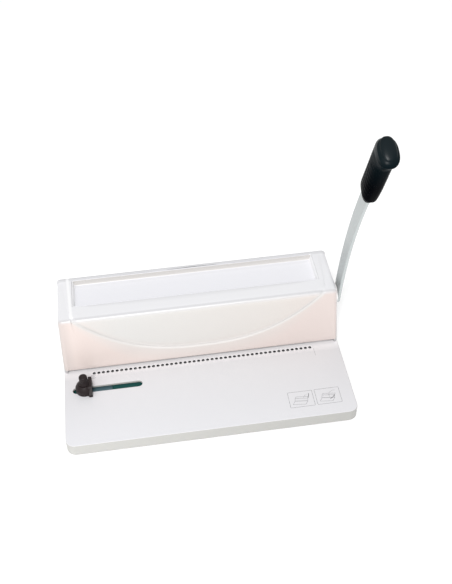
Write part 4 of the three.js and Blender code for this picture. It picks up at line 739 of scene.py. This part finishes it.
# %% Rows of the hood's outside
WIDE_SLOPE, NARROW_SLOPE, TOP_SLOPE, SLOPE_FROM, SLOPE_TO = 3.6, 1.8, 1.2, -120, 170
width_share = np.clip((plan_x - SLOPE_FROM) / (SLOPE_TO - SLOPE_FROM), 0, 1)
slope_width = np.where(front_columns, WIDE_SLOPE - (WIDE_SLOPE - NARROW_SLOPE) * width_share, TOP_SLOPE)
stretch = np.sqrt(1 + crease_slope ** 2)
across = np.concatenate([[-1.25], np.linspace(-1, 0, 7)])[:, None] * slope_width
across = np.concatenate([across, np.array([1.0, 2.0, 3.0, PANEL_DROP])[:, None] + 0 * slope_width])
crease_rows = crease_at + across * stretch

half_low = np.abs(hood_outline(0, np.full(COLUMNS, 20.0))[:, 0])
over_mouth = faces_front & (half_low < HALF_AT_TABLE - LEG_INSET)
bottom_z = np.where(over_mouth, LIP_HEIGHT, HOOD_BOTTOM)
lower_start = bottom_z - HOOD_BOTTOM + HEM
lower_end = crease_rows[0]
lower_span = lower_end - lower_start
gap_shares = [[(z - HOOD_BOTTOM - lower_start) / lower_span for z in heights]
              for heights in ((SHAFT_Z - SHAFT_WINDOW, SHAFT_Z + SHAFT_WINDOW), (REAR_LOW, REAR_HIGH))]
quarter = np.abs(np.arctan2(plan_ny, np.abs(plan_nx))) / (np.pi / 2)
key_shares = []
for even, beside, behind in zip((0.3, 0.7), *gap_shares):
    side_to_back = np.where(faces_back, beside * (1 - quarter) + behind * quarter, beside)
    side_value = float(beside[np.argmin(np.abs(plan_y - core_front) + 10 * (plan_nx < 0.9))])
    key_shares.append(np.where(plan_ny < -1e-6, side_value * (1 - quarter) + even * quarter, side_to_back))
first_key, second_key = [lower_start + share * lower_span for share in key_shares]


def even_rows(start, end, count):
    """`count` lengths after start and up to end, evenly spaced."""
    return start + (np.arange(count) + 1)[:, None] / count * (end - start)


def crest_spaced(start, end, count):
    """`count` lengths after start and up to end, eight times as dense on the crest."""
    length = np.linspace(0, 250, 5001)
    weight = length + 7 * np.clip(length - WALL_LENGTH, 0, CREST_LENGTH)
    low, high = np.interp(start, length, weight), np.interp(end, length, weight)
    return np.interp(even_rows(low, high, count), weight, length)


LOW_ROWS, WINDOW_ROWS, UPPER_ROWS, TOP_ROWS, HEM_ROWS = 4, 5, 16, 18, 2
top_end = WALL_LENGTH + CREST_LENGTH + TOP_LENGTH - HEM
lengths = np.concatenate([lower_start[None], even_rows(lower_start, first_key, LOW_ROWS),
                          even_rows(first_key, second_key, WINDOW_ROWS),
                          crest_spaced(second_key, lower_end, UPPER_ROWS), crease_rows[1:],
                          crest_spaced(crease_rows[-1], top_end, TOP_ROWS)])
LOW_ROW, HIGH_ROW = HEM_ROWS + LOW_ROWS, HEM_ROWS + LOW_ROWS + WINDOW_ROWS
print(len(lengths), "rows on the outside")

# %% The crease's own relief
def crease_relief(distance, width, depth):
    """How far the surface stands out: the panel's level inside, a rounded drop to the groove at
    the crease, then a soft slope out to zero over `width`."""
    def ease(t):
        t = np.clip(t, 0, 1)
        return t * t * (3 - 2 * t)
    inside = -depth + (PANEL_PROUD + depth) * ease(distance / PANEL_DROP)
    outside = -depth * ease(1 + distance / width)
    return np.where(distance > 0, inside, outside)


BACK_FADE = 6
outside_rows, surface_turn = hood_section(lengths)
groove_depth = np.where(front_columns, GROOVE_DEPTH, TOP_GROOVE_DEPTH)
relief = crease_relief((lengths - crease_at) / stretch, slope_width, groove_depth)
back_fade = np.where(faces_back, 0, 1) * np.clip((core_back - plan_y) / BACK_FADE, 0, 1) ** 0.5
fade = np.where((surface_turn > 0) & ~faces_front, back_fade, 1)
relief = PANEL_PROUD + (relief - PANEL_PROUD) * fade
outside_rows[..., 0] += relief * np.cos(surface_turn) * plan_nx
outside_rows[..., 1] += relief * np.cos(surface_turn) * plan_ny
outside_rows[..., 2] += (relief - PANEL_PROUD) * np.sin(surface_turn)
print("relief from", round(float(relief.min()), 2), "to", round(float(relief.max()), 2), "mm")

# %% The closed grid of the hood
def tray_rim(inset, z):
    """The tray's opening in the hood, moved outwards by inset, at a height."""
    return np.stack([tray_x + inset * plan_nx, tray_y + inset * plan_ny, np.full(COLUMNS, z)], -1)


HEM_CUT, RIM_CUT, INNER_CREST = 0.24, 0.23, HOOD_CREST - HOOD_WALL
inner_crest = [hood_outline(HOOD_WALL + INNER_CREST * (1 - math.cos(t)),
                            np.full(COLUMNS, HOOD_TOP - HOOD_CREST + INNER_CREST * math.sin(t)))
               for t in np.radians([90, 45, 0])]
outer_z = [HOOD_BOTTOM + lengths[k] for k in range(LOW_ROW - HEM_ROWS, HIGH_ROW - HEM_ROWS + 1)]
rim_below = tray_rim(0, HOOD_TOP - HOOD_WALL)
hood_rows = np.stack([
    hood_outline(HEM, bottom_z), hood_outline(HEM_CUT, bottom_z + HEM_CUT), *outside_rows,
    tray_rim(RIM_CUT, HOOD_TOP - RIM_CUT), tray_rim(0, HOOD_TOP - HEM), rim_below,
    0.5 * rim_below + 0.5 * inner_crest[0], *inner_crest,
    *[hood_outline(HOOD_WALL, z) for z in outer_z[::-1]], hood_outline(HOOD_WALL, bottom_z)])
ROWS = len(hood_rows)
faces = grid_faces(ROWS, COLUMNS, close_rows=True)
inner_rows = (ROWS - 2, ROWS - 1 - len(outer_z))
rear = np.flatnonzero((plan_ny > 0.999) & (np.abs(plan_x) < REAR_HALF + 0.01))
side = np.flatnonzero((plan_nx > 0.999) & (np.abs(plan_y - SHAFT_Y) < SHAFT_WINDOW + 0.01))
rear_gap, rear_lining = cut_gap(ROWS, COLUMNS, (LOW_ROW, HIGH_ROW), inner_rows, rear)
side_gap, side_lining = cut_gap(ROWS, COLUMNS, (LOW_ROW, HIGH_ROW), inner_rows, side)
hood_mesh = mesh_of("hood", hood_rows, faces[~(rear_gap | side_gap)], rear_lining, side_lining)
piece(hood_mesh, "hood_shell", 50)

# %% [markdown]
# ## Supplies tray
#
# A shallow dish stands in the opening of the hood, with a hairline gap all round. Its section
# goes up the outside, over the rounded rim, down the inside and through a fillet to the floor.

# %% Tray
TRAY_FLOOR, TRAY_WALL, TRAY_FILLET, SMALLEST_CORNER = 101.0, 2.3, 2.0, 1.25
tray_plan = plan_columns(spaced(-1, 1, step=0.05), spaced(0, 1, step=0.1), np.array([15, 30, 45, 60, 75.0]))
TRAY_SECTION = [(0.3, 99), (0.3, 108.3), (0.38, 108.5), (0.55, 108.6), (0.9, 108.5), (1.2, 108.2),
                (1.5, 107.4), (1.9, 106), (TRAY_WALL, 103.5)]
TRAY_SECTION += [(TRAY_WALL + TRAY_FILLET * (1 - math.cos(t)), TRAY_FLOOR + TRAY_FILLET * (1 - math.sin(t)))
                 for t in np.radians([0, 18, 36, 54, 72, 90])] + [(4.8, TRAY_FLOOR)]
tray_rows = np.stack([ring(tray_plan, TRAY_HALF - inset, TRAY_FRONT + inset, TRAY_BACK - inset,
                           max(TRAY_CORNER - inset, SMALLEST_CORNER), z) for inset, z in TRAY_SECTION])


def end_caps(rows, columns):
    """The first and the last row of a grid as one face each."""
    row = np.arange(columns)
    return row[None, ::-1], (rows - 1) * columns + row[None]


tray_grid = tray_rows.shape[:2]
tray_mesh = mesh_of("supplies_tray_moulding", tray_rows, grid_faces(*tray_grid), *end_caps(*tray_grid))
piece(tray_mesh, "supplies_tray", 40)

# %% [markdown]
# ## Table
#
# The table is a shallow upturned shell. Its walls are a grid like the hood's, with a gap on the
# left for the chip drawer. The flat top and its underside have 49 round holes, the slot of the
# side guide and the well under the hood, so they are filled with triangles between those
# outlines. Each hole gets a rounded edge of its own, and a narrow flat ring around every edge
# keeps the shading of the top even.

# %% Sizes of the table
base_low, base_high = low_high("base_shell")
HALF_WIDTH, FRONT, BACK = float(base_high[0]), float(base_low[1]), float(base_high[1])
BASE_CORNER, BASE_BACK_CORNER, BASE_EDGE, UNDERSIDE = 12.0, 5.0, 0.8, 14.0
HOLE_COUNT, HOLE_PITCH, HOLE_ROW_Y, HOLE_RADIUS = 49, 6.0, 10.4, 2.0
SLOT_LEFT, SLOT_RIGHT, SLOT_Y, SLOT_RADIUS = -172.5, -82.5, -16.2, 5.0
WELL_HALF, WELL_FRONT, WELL_BACK = 176.5, 22.1, 84.0
DOOR_FRONT, DOOR_BACK, DOOR_LOW, DOOR_HIGH = 15.9, 44.9, 1.5, 9.3
DEPTH = BACK - FRONT
print("table", base_low, base_high)

# %% Walls of the table
door_shares = [(y - FRONT - BASE_CORNER) / (DEPTH - 2 * BASE_CORNER) for y in (DOOR_FRONT, DOOR_BACK)]
base_plan = plan_columns(spaced(-1, 1, step=0.04), spaced(0, *door_shares, 1, step=0.05))
rounding = np.radians([22.5, 45, 67.5, 90])
base_corner = np.where(base_plan[1] > 0.999, BASE_BACK_CORNER, BASE_CORNER)
BASE_SECTION = [(3, UNDERSIDE), (3, DOOR_HIGH), (3, DOOR_LOW), (3, 0.3), (2.7, 0), (0.6, 0), (0.18, 0.18),
                (0, 0.6), (0, DOOR_LOW), (0, DOOR_HIGH), (0, TABLE_TOP - BASE_EDGE)]
BASE_SECTION += [(BASE_EDGE * (1 - math.cos(t)), TABLE_TOP - BASE_EDGE * (1 - math.sin(t))) for t in rounding]
BASE_SECTION += [(BASE_EDGE + 0.35, TABLE_TOP)]
base_rows = np.stack([ring(base_plan, HALF_WIDTH - inset, FRONT + inset, BACK - inset, base_corner - inset, z)
                      for inset, z in BASE_SECTION])
rows, columns = base_rows.shape[:2]
beside_door = np.abs(base_plan[1] - sum(door_shares) / 2) < (door_shares[1] - door_shares[0]) / 2 + 1e-6
left_wall = np.flatnonzero((base_plan[2] < -0.999) & beside_door)
door_gap, door_lining = cut_gap(rows, columns, (8, 9), (2, 1), left_wall)
wall_faces = grid_faces(rows, columns)[~door_gap[:-1]]
print(rows, "rows,", columns, "columns")

# %% Holes, slot and well of the table
HOLE_SIDES = 20
EDGE_SECTION = [(0.45, 0), (0.2, 0), (0.06, -0.06), (0, -0.2), (0, UNDERSIDE - TABLE_TOP)]
LIP_SECTION = [(0.4, 0), (0.15, 0), (0.04, -0.04), (0, -0.15), (0, -0.7), (0.1, -0.8), (0.75, -0.8),
               (0.75, UNDERSIDE - TABLE_TOP)]


def loops_down(outline, section):
    """The rings from the flat top over a rounded edge and down through the table; outline gives
    the plan of the hole, widened by a number of millimetres."""
    return np.stack([np.column_stack([outline(wider), 0 * outline(wider)[:, 0] + TABLE_TOP + z])
                     for wider, z in section])


def round_hole(x):
    """The outline of the hole at x, as a function of the widening."""
    turn = np.arange(HOLE_SIDES) * 2 * np.pi / HOLE_SIDES
    spoke = np.column_stack([np.cos(turn), np.sin(turn)])
    return lambda wider: (HOLE_RADIUS + wider) * spoke + [x, HOLE_ROW_Y]


def slot_outline(wider):
    """Two half circles, joined by straight sides."""
    turn = np.linspace(-np.pi / 2, np.pi / 2, 17)
    end = np.column_stack([np.cos(turn), np.sin(turn)]) * (SLOT_RADIUS + wider)
    right_end, left_end = [SLOT_RIGHT - SLOT_RADIUS, SLOT_Y], [SLOT_LEFT + SLOT_RADIUS, SLOT_Y]
    return np.concatenate([right_end + end, left_end - end])


def well_outline(wider):
    """The rectangular well under the hood."""
    x, front, back = WELL_HALF + wider, WELL_FRONT - wider, WELL_BACK + wider
    return np.array([[-x, front], [x, front], [x, back], [-x, back]])


hole_places = (np.arange(HOLE_COUNT) - (HOLE_COUNT - 1) / 2) * HOLE_PITCH
hole_rings = [loops_down(round_hole(x), LIP_SECTION) for x in hole_places]
hole_rings += [loops_down(slot_outline, EDGE_SECTION), loops_down(well_outline, EDGE_SECTION)]
starts = rows * columns + np.cumsum([0] + [r.shape[0] * r.shape[1] for r in hole_rings])
hole_walls = [grid_faces(*r.shape[:2], first=start).reshape(-1, 4) for r, start in zip(hole_rings, starts)]


def flat_fill(wall_row, hole_row):
    """Triangles between one row of the walls and the same row, -1 or 0, of every hole."""
    row_starts = [(wall_row % rows) * columns]
    row_starts += [start + (hole_row % len(r)) * r.shape[1] for r, start in zip(hole_rings, starts)]
    loops = [base_rows[wall_row, :, :2], *[r[hole_row, :, :2] for r in hole_rings]]
    numbers = np.concatenate([start + np.arange(len(loop)) for start, loop in zip(row_starts, loops)])
    return numbers[filled(*loops)]


table_points = np.concatenate([base_rows.reshape(-1, 3), *[r.reshape(-1, 3) for r in hole_rings]])
table_mesh = mesh_of("table", table_points, wall_faces, door_lining, *hole_walls,
                     flat_fill(-1, 0), flat_fill(0, -1)[:, ::-1])
piece(table_mesh, "base_shell", 50)

# %% [markdown]
# ## Lever
#
# The lever is a flat steel bar, bent edgewise to an even curve. Its solid has the right shape,
# so a copy with softly bevelled edges is enough. The grip is a loft: its section, a rounded
# rectangle, grows from a slim neck to a thick rounded head. The stations below are shares of
# the grip's length and half thickness, joined by a smooth curve.

# %% Bar of the lever
LEVER_REACH, LEVER_ROOT_LEAN, LEVER_TOP_LEAN = 222.0, math.radians(11.5), math.radians(27)
LEVER_MIDDLE_X, GRIP_START, GRIP_LENGTH, GRIP_HALF = 186.0, 235.4, 112.9, 10.9
softened("lever_bar", "lever_arm", 0.7)


def lever_point(reach):
    """Centre line of the bar in the plane of its swing: an arc that leans more and more to the
    front, then straight on inside the grip."""
    radius = LEVER_REACH / (LEVER_TOP_LEAN - LEVER_ROOT_LEAN)
    lean = min(LEVER_ROOT_LEAN + reach / radius, LEVER_TOP_LEAN)
    beyond = max(reach - LEVER_REACH, 0)
    y = SHAFT_Y - radius * (math.cos(LEVER_ROOT_LEAN) - math.cos(lean)) - beyond * math.sin(lean)
    z = SHAFT_Z + radius * (math.sin(lean) - math.sin(LEVER_ROOT_LEAN)) + beyond * math.cos(lean)
    return y, z, lean


print("grip starts at", [round(v, 2) for v in lever_point(GRIP_START)])

# %% Grip
GRIP_STATIONS = np.array([
    [0.00, 0.00, 0.62, 0.50], [0.02, -0.03, 0.92, 0.61], [0.07, -0.04, 1.11, 0.73],
    [0.14, 0.13, 1.25, 0.92], [0.35, 0.20, 1.27, 0.98], [0.74, 0.18, 1.33, 0.98],
    [0.805, 0.25, 1.38, 1.00], [0.855, 0.36, 1.53, 1.01], [0.905, 0.50, 1.61, 1.04],
    [0.948, 0.62, 1.50, 1.00], [0.979, 0.38, 1.14, 0.66], [1.00, 0.12, 0.70, 0.60]])


def smooth_through(stations, along):
    """Cubic curve through the stations; its slope at each one is the harmonic mean of the slopes
    beside it, and is zero at a local high or low, so that it never overshoots."""
    t, values = stations[:, 0], stations[:, 1:]
    steps = np.diff(values, axis=0) / np.diff(t)[:, None]
    slope = np.zeros_like(values)
    before, after = steps[:-1], steps[1:]
    slope[1:-1] = np.where(before * after > 0, 2 * before * after / (before + after + 1e-12), 0)
    slope[0], slope[-1] = steps[0], steps[-1]
    k = np.clip(np.searchsorted(t, along, "right") - 1, 0, len(t) - 2)
    width = np.diff(t)[k][:, None]
    u = (along - t[k])[:, None] / width
    return (values[k] * (1 + 2 * u) * (1 - u) ** 2 + slope[k] * width * u * (1 - u) ** 2
            + values[k + 1] * u * u * (3 - 2 * u) + slope[k + 1] * width * u * u * (u - 1))


GRIP_SIDES, SQUARENESS, END_SLOPE, ROUND_FROM, ROUND_TO = 112, 0.8, 0.45, 0.97, 0.012
along = np.concatenate([np.linspace(0, 0.08, 14)[:-1], np.linspace(0.08, 0.94, 150)[:-1],
                        np.linspace(0.94, 1, 22)])
head_round = np.sqrt(np.clip(1 - np.clip((along - ROUND_FROM) / (1 - ROUND_FROM), 0, 1) ** 2, 0, 1))
neck_round = 1 - 0.30 * np.clip(1 - along / ROUND_TO, 0, 1) ** 2
forward, width, thickness = smooth_through(GRIP_STATIONS, along).T
width, thickness = (np.where(along > ROUND_FROM, np.interp(ROUND_FROM, along, size), size)
                    * head_round * neck_round + 1e-3 for size in (width, thickness))
turn = (np.arange(GRIP_SIDES) + 0.5) * 2 * np.pi / GRIP_SIDES
to_side, to_front = (np.sign(part) * np.abs(part) ** SQUARENESS for part in (np.cos(turn), np.sin(turn)))
print("grip grid", len(along), "by", GRIP_SIDES)

# %% [markdown]
# A sunk line runs around a panel on each side of the grip, with flat ribs inside it. The panel
# is a rounded rectangle: the distance of a point from its edge is that from a smaller rectangle
# less the corner's radius, and the line is deep where the distance is near zero.

# %% Relief of the grip, in millimetres
PANEL_TURN, PANEL_RADIUS, PANEL_CORNER = math.radians(30), 12.5, 3.5
PANEL_MIDDLE, PANEL_HALF_LENGTH, PANEL_HALF_WIDTH = 46, 28, 5.5
LINE_DEPTH, LINE_WIDTH = 0.35, 0.6
RIB_HEIGHT, RIB_PITCH, RIB_FIRST, RIB_MIDDLE, RIB_REACH, RIB_INSET = 0.2, 7.2, 26, 44, 22, 1.2
RELIEF_UP_TO = 0.93
length_mm = along[:, None] * GRIP_LENGTH
across_mm = (np.arctan2(-np.sin(turn), np.abs(np.cos(turn))) - PANEL_TURN) * PANEL_RADIUS + 0 * length_mm
outside_x = np.abs(length_mm - PANEL_MIDDLE) - PANEL_HALF_LENGTH
outside_y = np.abs(across_mm) - PANEL_HALF_WIDTH
edge_distance = (np.hypot(np.maximum(outside_x, 0), np.maximum(outside_y, 0))
                 + np.minimum(np.maximum(outside_x, outside_y), 0) - PANEL_CORNER)
ribbed = (edge_distance < -RIB_INSET) & (np.abs(length_mm - RIB_MIDDLE) < RIB_REACH)
ribs = RIB_HEIGHT * np.clip(np.cos((length_mm - RIB_FIRST) * 2 * np.pi / RIB_PITCH), 0, 1) ** 2 * ribbed
sunk = LINE_DEPTH * np.exp(-(edge_distance / LINE_WIDTH) ** 2) - ribs
shrink = 1 - sunk / (thickness[:, None] * GRIP_HALF + 1e-6) * (along[:, None] < RELIEF_UP_TO)
sideways = to_side * thickness[:, None] * GRIP_HALF * shrink
ahead = forward[:, None] * GRIP_HALF - to_front * width[:, None] * GRIP_HALF
upward = length_mm - (sideways + ahead) * END_SLOPE * (1 - along[:, None]) ** 2
start_y, start_z, lean = lever_point(GRIP_START)
grip_points = np.stack([LEVER_MIDDLE_X + sideways, start_y - ahead * math.cos(lean) - upward * math.sin(lean),
                        start_z - ahead * math.sin(lean) + upward * math.cos(lean)], -1)
grip_grid = grip_points.shape[:2]
piece(mesh_of("grip", grip_points, grid_faces(*grip_grid), *end_caps(*grip_grid)), "lever_grip", 60)

# %% [markdown]
# ## Turned pieces
#
# The boss around the shaft, the thumb knob, the rubber feet and the screws are all turned. Each
# is a section of heights and radii, carried round an axis. The knob's flutes and the cross in
# the screw heads are added as a relief on the same grid.

# %% Boss around the shaft
BOSS_SECTION = [(180.2, 6.5), (180.2, 13.0), (182.5, 13.0), (183.1, 12.85), (183.42, 12.5), (183.5, 12.0),
                (183.5, 7.2), (183.4, 6.8), (183.1, 6.5)]
piece(revolved("boss", BOSS_SECTION, (0, SHAFT_Y, SHAFT_Z), "x", 72), "lever_boss", 50, boss_plastic)

# %% Thumb knob
knob_low, knob_high = low_high("guide_knob")
KNOB_BASE, KNOB_TOP = float(knob_low[2]), float(knob_high[2])
KNOB_X, KNOB_Y = [float(v) for v in (knob_low + knob_high)[:2] / 2]
KNOB_RADIUS, DOME_HEIGHT, DOME_WIDTH, KNOB_FLUTES, FLUTE_DEPTH = 5.5, 2.6, 3.6, 18, 0.45
SKIRT = [(9, 0), (9, 2.8), (0, 2.8), (0, 5.8), (0.3, 6.15), (2.0, 6.2), (2.4, 6.0), (2.5, 5.6),
         (3.0, KNOB_RADIUS)]
dome = [(KNOB_TOP - DOME_HEIGHT * (1 - math.sin(t)), KNOB_RADIUS - DOME_WIDTH * (1 - math.cos(t)))
        for t in np.radians(np.arange(0, 91, 10))]
KNOB_SECTION = [(KNOB_BASE + up, radius) for up, radius in SKIRT]
KNOB_SECTION += [(z, KNOB_RADIUS) for z in np.linspace(KNOB_BASE + 4, KNOB_TOP - 3.2, 8)]
KNOB_SECTION += [*dome, (KNOB_TOP - 0.05, 1.0), (KNOB_TOP - 0.3, 0)]


def fluted(turn, height, radius):
    """Flutes around the grip of the knob: they start above the skirt and run out on the dome."""
    above_skirt = np.clip((height - KNOB_BASE - 2.6) / 1.2, 0, 1)
    below_top = np.clip((KNOB_TOP - 0.6 - height) / 2.5, 0, 1) * (radius > 4)
    flute = (0.5 - 0.5 * np.cos(KNOB_FLUTES * turn)) ** 0.6
    return height, radius - FLUTE_DEPTH * flute * above_skirt * below_top


piece(revolved("thumb_knob", KNOB_SECTION, (KNOB_X, KNOB_Y, 0), "z", 144, fluted), "guide_knob", 45)

# %% Rubber feet
FOOT_SECTION = [(-2.5, 0), (-2.5, 5.0), (-2.3, 5.3), (-2.3, 5.9), (-2.5, 6.2), (-2.5, 8.2), (-2.42, 8.6),
                (-2.2, 8.85), (-1.9, 9.0), (-0.7, 9.0), (-0.4, 8.9), (-0.3, 8.6), (-0.3, 3.0), (2.4, 3.0),
                (2.7, 2.7), (2.7, 0)]
for corner in ("front_left", "front_right", "rear_left", "rear_right"):
    foot_x, foot_y, _ = sum(low_high(f"foot_{corner}")) / 2
    piece(revolved(f"rubber_foot_{corner}", FOOT_SECTION, (foot_x, foot_y, 0), "z", 48), f"foot_{corner}", 40)

# %% Screws with a domed head and a cross recess
CROSS_DEPTH, CROSS_ARM, CROSS_REACH, SCREW_SIDES = 0.55, 0.17, 0.62, 48


def cross_screw(node, axis, way, head, bow=0.35):
    """A screw in place of a solid one: way is +1 or -1, where its head points along the axis,
    head its height. The cross is pressed in where either side distance is small."""
    low, high = low_high(node)
    k = "xyz".index(axis)
    others = [i for i in range(3) if i != k]
    radius = (high - low)[others].max() / 2
    shank = min(1.5, radius * 0.42)
    top, tip = (high[k], low[k]) if way > 0 else (low[k], high[k])
    seat = top - way * head
    rims = [(seat, shank), (seat, radius - 0.15), (seat + way * 0.15, radius), (top - way * bow, radius)]
    rims += [(top - way * bow * (1 - math.sin(t)), radius * (0.78 + 0.22 * math.cos(t)))
             for t in np.radians([25, 50, 75, 90])]
    rims += [(top, radius * share) for share in np.linspace(0.72, 0.06, 12)] + [(top, 0)]
    section = [(tip, 0), (tip, shank * 0.6), (tip - way * 0.6, shank), *rims]

    def pressed(turn, height, radius_now):
        u, v = np.abs(radius_now * np.cos(turn)), np.abs(radius_now * np.sin(turn))
        arm = np.clip((CROSS_ARM * radius - np.minimum(u, v)) / 0.12, 0, 1)
        arm = arm * np.clip((CROSS_REACH * radius - radius_now) / 0.15, 0, 1)
        return height - way * CROSS_DEPTH * arm * (np.abs(height - top) < 1e-6), radius_now

    centre = (low + high) / 2
    centre[k] = 0
    piece(revolved(f"{node}_head", section, centre, axis, SCREW_SIDES, pressed), node, 40)


for n in range(1, 5):
    cross_screw(f"base_plate_screw_{n}", "z", -1, 1.6)
    cross_screw(f"rear_cover_screw_{n}", "y", 1, 0.8, bow=0.3)
cross_screw("lever_screw", "x", 1, 1.6, bow=0.1)

# %% [markdown]
# ## Softened copies
#
# The side guide, the chip drawer and the cover at the back have the right shape as solids, and
# only lack the small radius that every moulded or folded edge has. A bevel on a merged copy
# gives it, and catches the light along the edges.

# %% Side guide, drawer and rear cover
softened("side_guide_moulding", "side_guide", 0.45)
softened("drawer_moulding", "chip_drawer", 0.25)
softened("rear_cover_panel", "rear_cover", 0.4)
softened("guide_strip", "guide_carrier", 0.2, segments=2)

# %% [markdown]
# ## Printed marks
#
# Next to the row of holes a thin line shows where a sheet's edge lies, and small marks stand at
# the other end. Two framed line drawings at the front right show the lever up and down. They
# are printed in grey ink, so each stroke is a ribbon a few hundredths of a millimetre thick.

# %% Strokes of ink
INK_LOW, INK_HIGH = TABLE_TOP + 0.012, TABLE_TOP + 0.04
ink = moulded(Finish("ink", (0.20, 0.20, 0.21), 0.6), 1500, 0.000002, clouds=300, change=0.3)


def stroke(path, width, closed=False):
    """A ribbon along a path of [x, y]: at each point it is widened along the mean of the
    neighbouring sides' directions. Returns its points and faces."""
    path = np.array(path, float)
    ahead = np.roll(path, -1, 0) - path
    behind = path - np.roll(path, 1, 0)
    if not closed:
        ahead[-1], behind[0] = behind[-1], ahead[0]
    ahead /= np.linalg.norm(ahead, axis=1, keepdims=True)
    behind /= np.linalg.norm(behind, axis=1, keepdims=True)
    mean = ahead + behind
    mean /= np.linalg.norm(mean, axis=1, keepdims=True)
    reach = width / 2 / np.maximum((mean * ahead).sum(1, keepdims=True), 0.5)
    offset = np.column_stack([mean[:, 1], -mean[:, 0]]) * reach
    count = len(path)
    points = np.stack([np.column_stack([path + side * offset, np.full(count, z)])
                       for side, z in ((1, INK_LOW), (1, INK_HIGH), (-1, INK_HIGH), (-1, INK_LOW))], 1)
    faces = grid_faces(count, 4, close_rows=closed).reshape(-1, 4)
    if not closed:
        faces = np.concatenate([faces, [[3, 2, 1, 0]], (count - 1) * 4 + np.array([[0, 1, 2, 3]])])
    return points.reshape(-1, 3), faces


def printed(name, strokes):
    """One piece from many strokes."""
    points, faces = zip(*[stroke(*one) for one in strokes])
    starts = np.cumsum([0] + [len(group) for group in points])
    mesh = mesh_of(name, np.concatenate(points), *[group + start for group, start in zip(faces, starts)])
    piece(mesh, None, 30, ink, "frame", "black_plastic")


def arc(x, y, radius, start, end, count):
    """Points on an arc, by its first and last angle in degrees."""
    turn = np.radians(np.linspace(start, end, count))
    return np.column_stack([x + radius * np.cos(turn), y + radius * np.sin(turn)])


def roundish(x0, x1, y0, y1, radius=0.8):
    """A rectangle with small round corners, counterclockwise."""
    left, right, front, back = x0 + radius, x1 - radius, y0 + radius, y1 - radius
    corners = [(right, front), (right, back), (left, back), (left, front)]
    return np.concatenate([arc(x, y, radius, start, start + 90, 4)
                           for (x, y), start in zip(corners, (-90, 0, 90, 180))])


FRAME_WIDTH, FRAME_HEIGHT, FRAME_LINE, DRAWN_LINE, ARM_LINE, SWING_LINE = 31.4, 24.7, 0.35, 0.3, 0.8, 0.25
MACHINE_LINES = [[(4, 5), (20, 3.2), (23.5, 8.2), (7.6, 10)],
                 [(7.2, 10.2), (23.2, 8.4), (24.2, 12.6), (8.4, 14.4)],
                 [(8.4, 14.4), (24.2, 12.6), (25.6, 15.0), (10.0, 16.8)]]
ARM_UP, SWING_UP = [(24.6, 13.4), (26.2, 17.4), (26.4, 20.4)], (24.6, 13.4, 5.4, 95, 175, 10)
ARM_DOWN, SWING_DOWN = [(24.6, 12.6), (20.5, 8.6), (17.6, 6.9)], (24.6, 12.6, 7.6, 80, 205, 12)


def sketch(left, front, arm, swing):
    """Strokes of a small machine in a frame: table, hood, lever and an arc for its swing."""
    lines = [(roundish(0, FRAME_WIDTH, 0, FRAME_HEIGHT), FRAME_LINE, True)]
    lines += [(line, DRAWN_LINE, True) for line in MACHINE_LINES]
    lines += [(arm, ARM_LINE), (arc(*swing), SWING_LINE)]
    return [(np.array(line) + [left, front], *rest) for line, *rest in lines]


SHEET_EDGE = [([(148.6, 7.6), (148.6, -5.2)], 0.25)]
SMALL_MARKS = [([(-148.4, y), (right, y)], 0.5) for y, right in ((7.0, -142.4), (4.6, -143.6), (2.2, -142.4))]
printed("paper_edge_marks", SHEET_EDGE + SMALL_MARKS)
printed("lever_up_drawing", sketch(99.3, -87.8, ARM_UP, SWING_UP))
printed("lever_down_drawing", sketch(134.0, -87.6, ARM_DOWN, SWING_DOWN))

# %% [markdown]
# ## Floor and light
#
# A product picture stands on white paper, so the floor is white and glows a little, which keeps
# it white in its shadows. One large soft light in front and above gives the shapes, two weak
# ones and an even sky fill the shades.

# %% Floor
FLOOR_Z, FLOOR_HALF, FLOOR_GLOW = -2.5, 6000, 0.08
floor_corners = [(x * FLOOR_HALF, y * FLOOR_HALF, FLOOR_Z) for x, y in ((-1, -1), (1, -1), (1, 1), (-1, 1))]
floor_mesh = mesh_of("floor", floor_corners, [[0, 1, 2, 3]])
floor = bpy.data.objects.new("floor", floor_mesh)
bpy.context.scene.collection.objects.link(floor)
floor_finish = Finish("floor_paper", (1.0, 1.0, 1.0), 1.0, shine=0.0)
floor_finish.set(Emission_Color=(1, 1, 1, 1), Emission_Strength=FLOOR_GLOW)
floor_mesh.materials.append(floor_finish.material)
print("floor", FLOOR_Z, "mm")


# %% Lights
def soft_light(name, place, aim, size, power, colour=(1, 1, 1)):
    """A square area light that looks from place at aim; power in watts."""
    data = bpy.data.lights.new(name, "AREA")
    data.shape, data.size, data.energy, data.color = "SQUARE", size, power, colour
    light = bpy.data.objects.new(name, data)
    away = Vector(place) - Vector(aim)
    light.matrix_world = Matrix.Translation(place) @ away.to_track_quat("Z", "Y").to_matrix().to_4x4()
    bpy.context.scene.collection.objects.link(light)


soft_light("key_light", (-0.65, -4.15, 5.4), (0, 0, 0.05), 2.4, 335)
soft_light("left_light", (-1.4, -1.2, 1.5), (0, 0, 0.1), 1.2, 5)
soft_light("front_light", (-0.5, -2.4, 0.6), (0, 0, 0.06), 1.2, 4, (1.0, 0.97, 0.95))

world = bpy.data.worlds.new("studio")
world.use_nodes = True
sky = world.node_tree.nodes["Background"].inputs
sky["Color"].default_value, sky["Strength"].default_value = (1, 1, 1, 1), 0.50
bpy.context.scene.world = world
bpy.context.scene.view_settings.view_transform = "Standard"
print("studio ready")
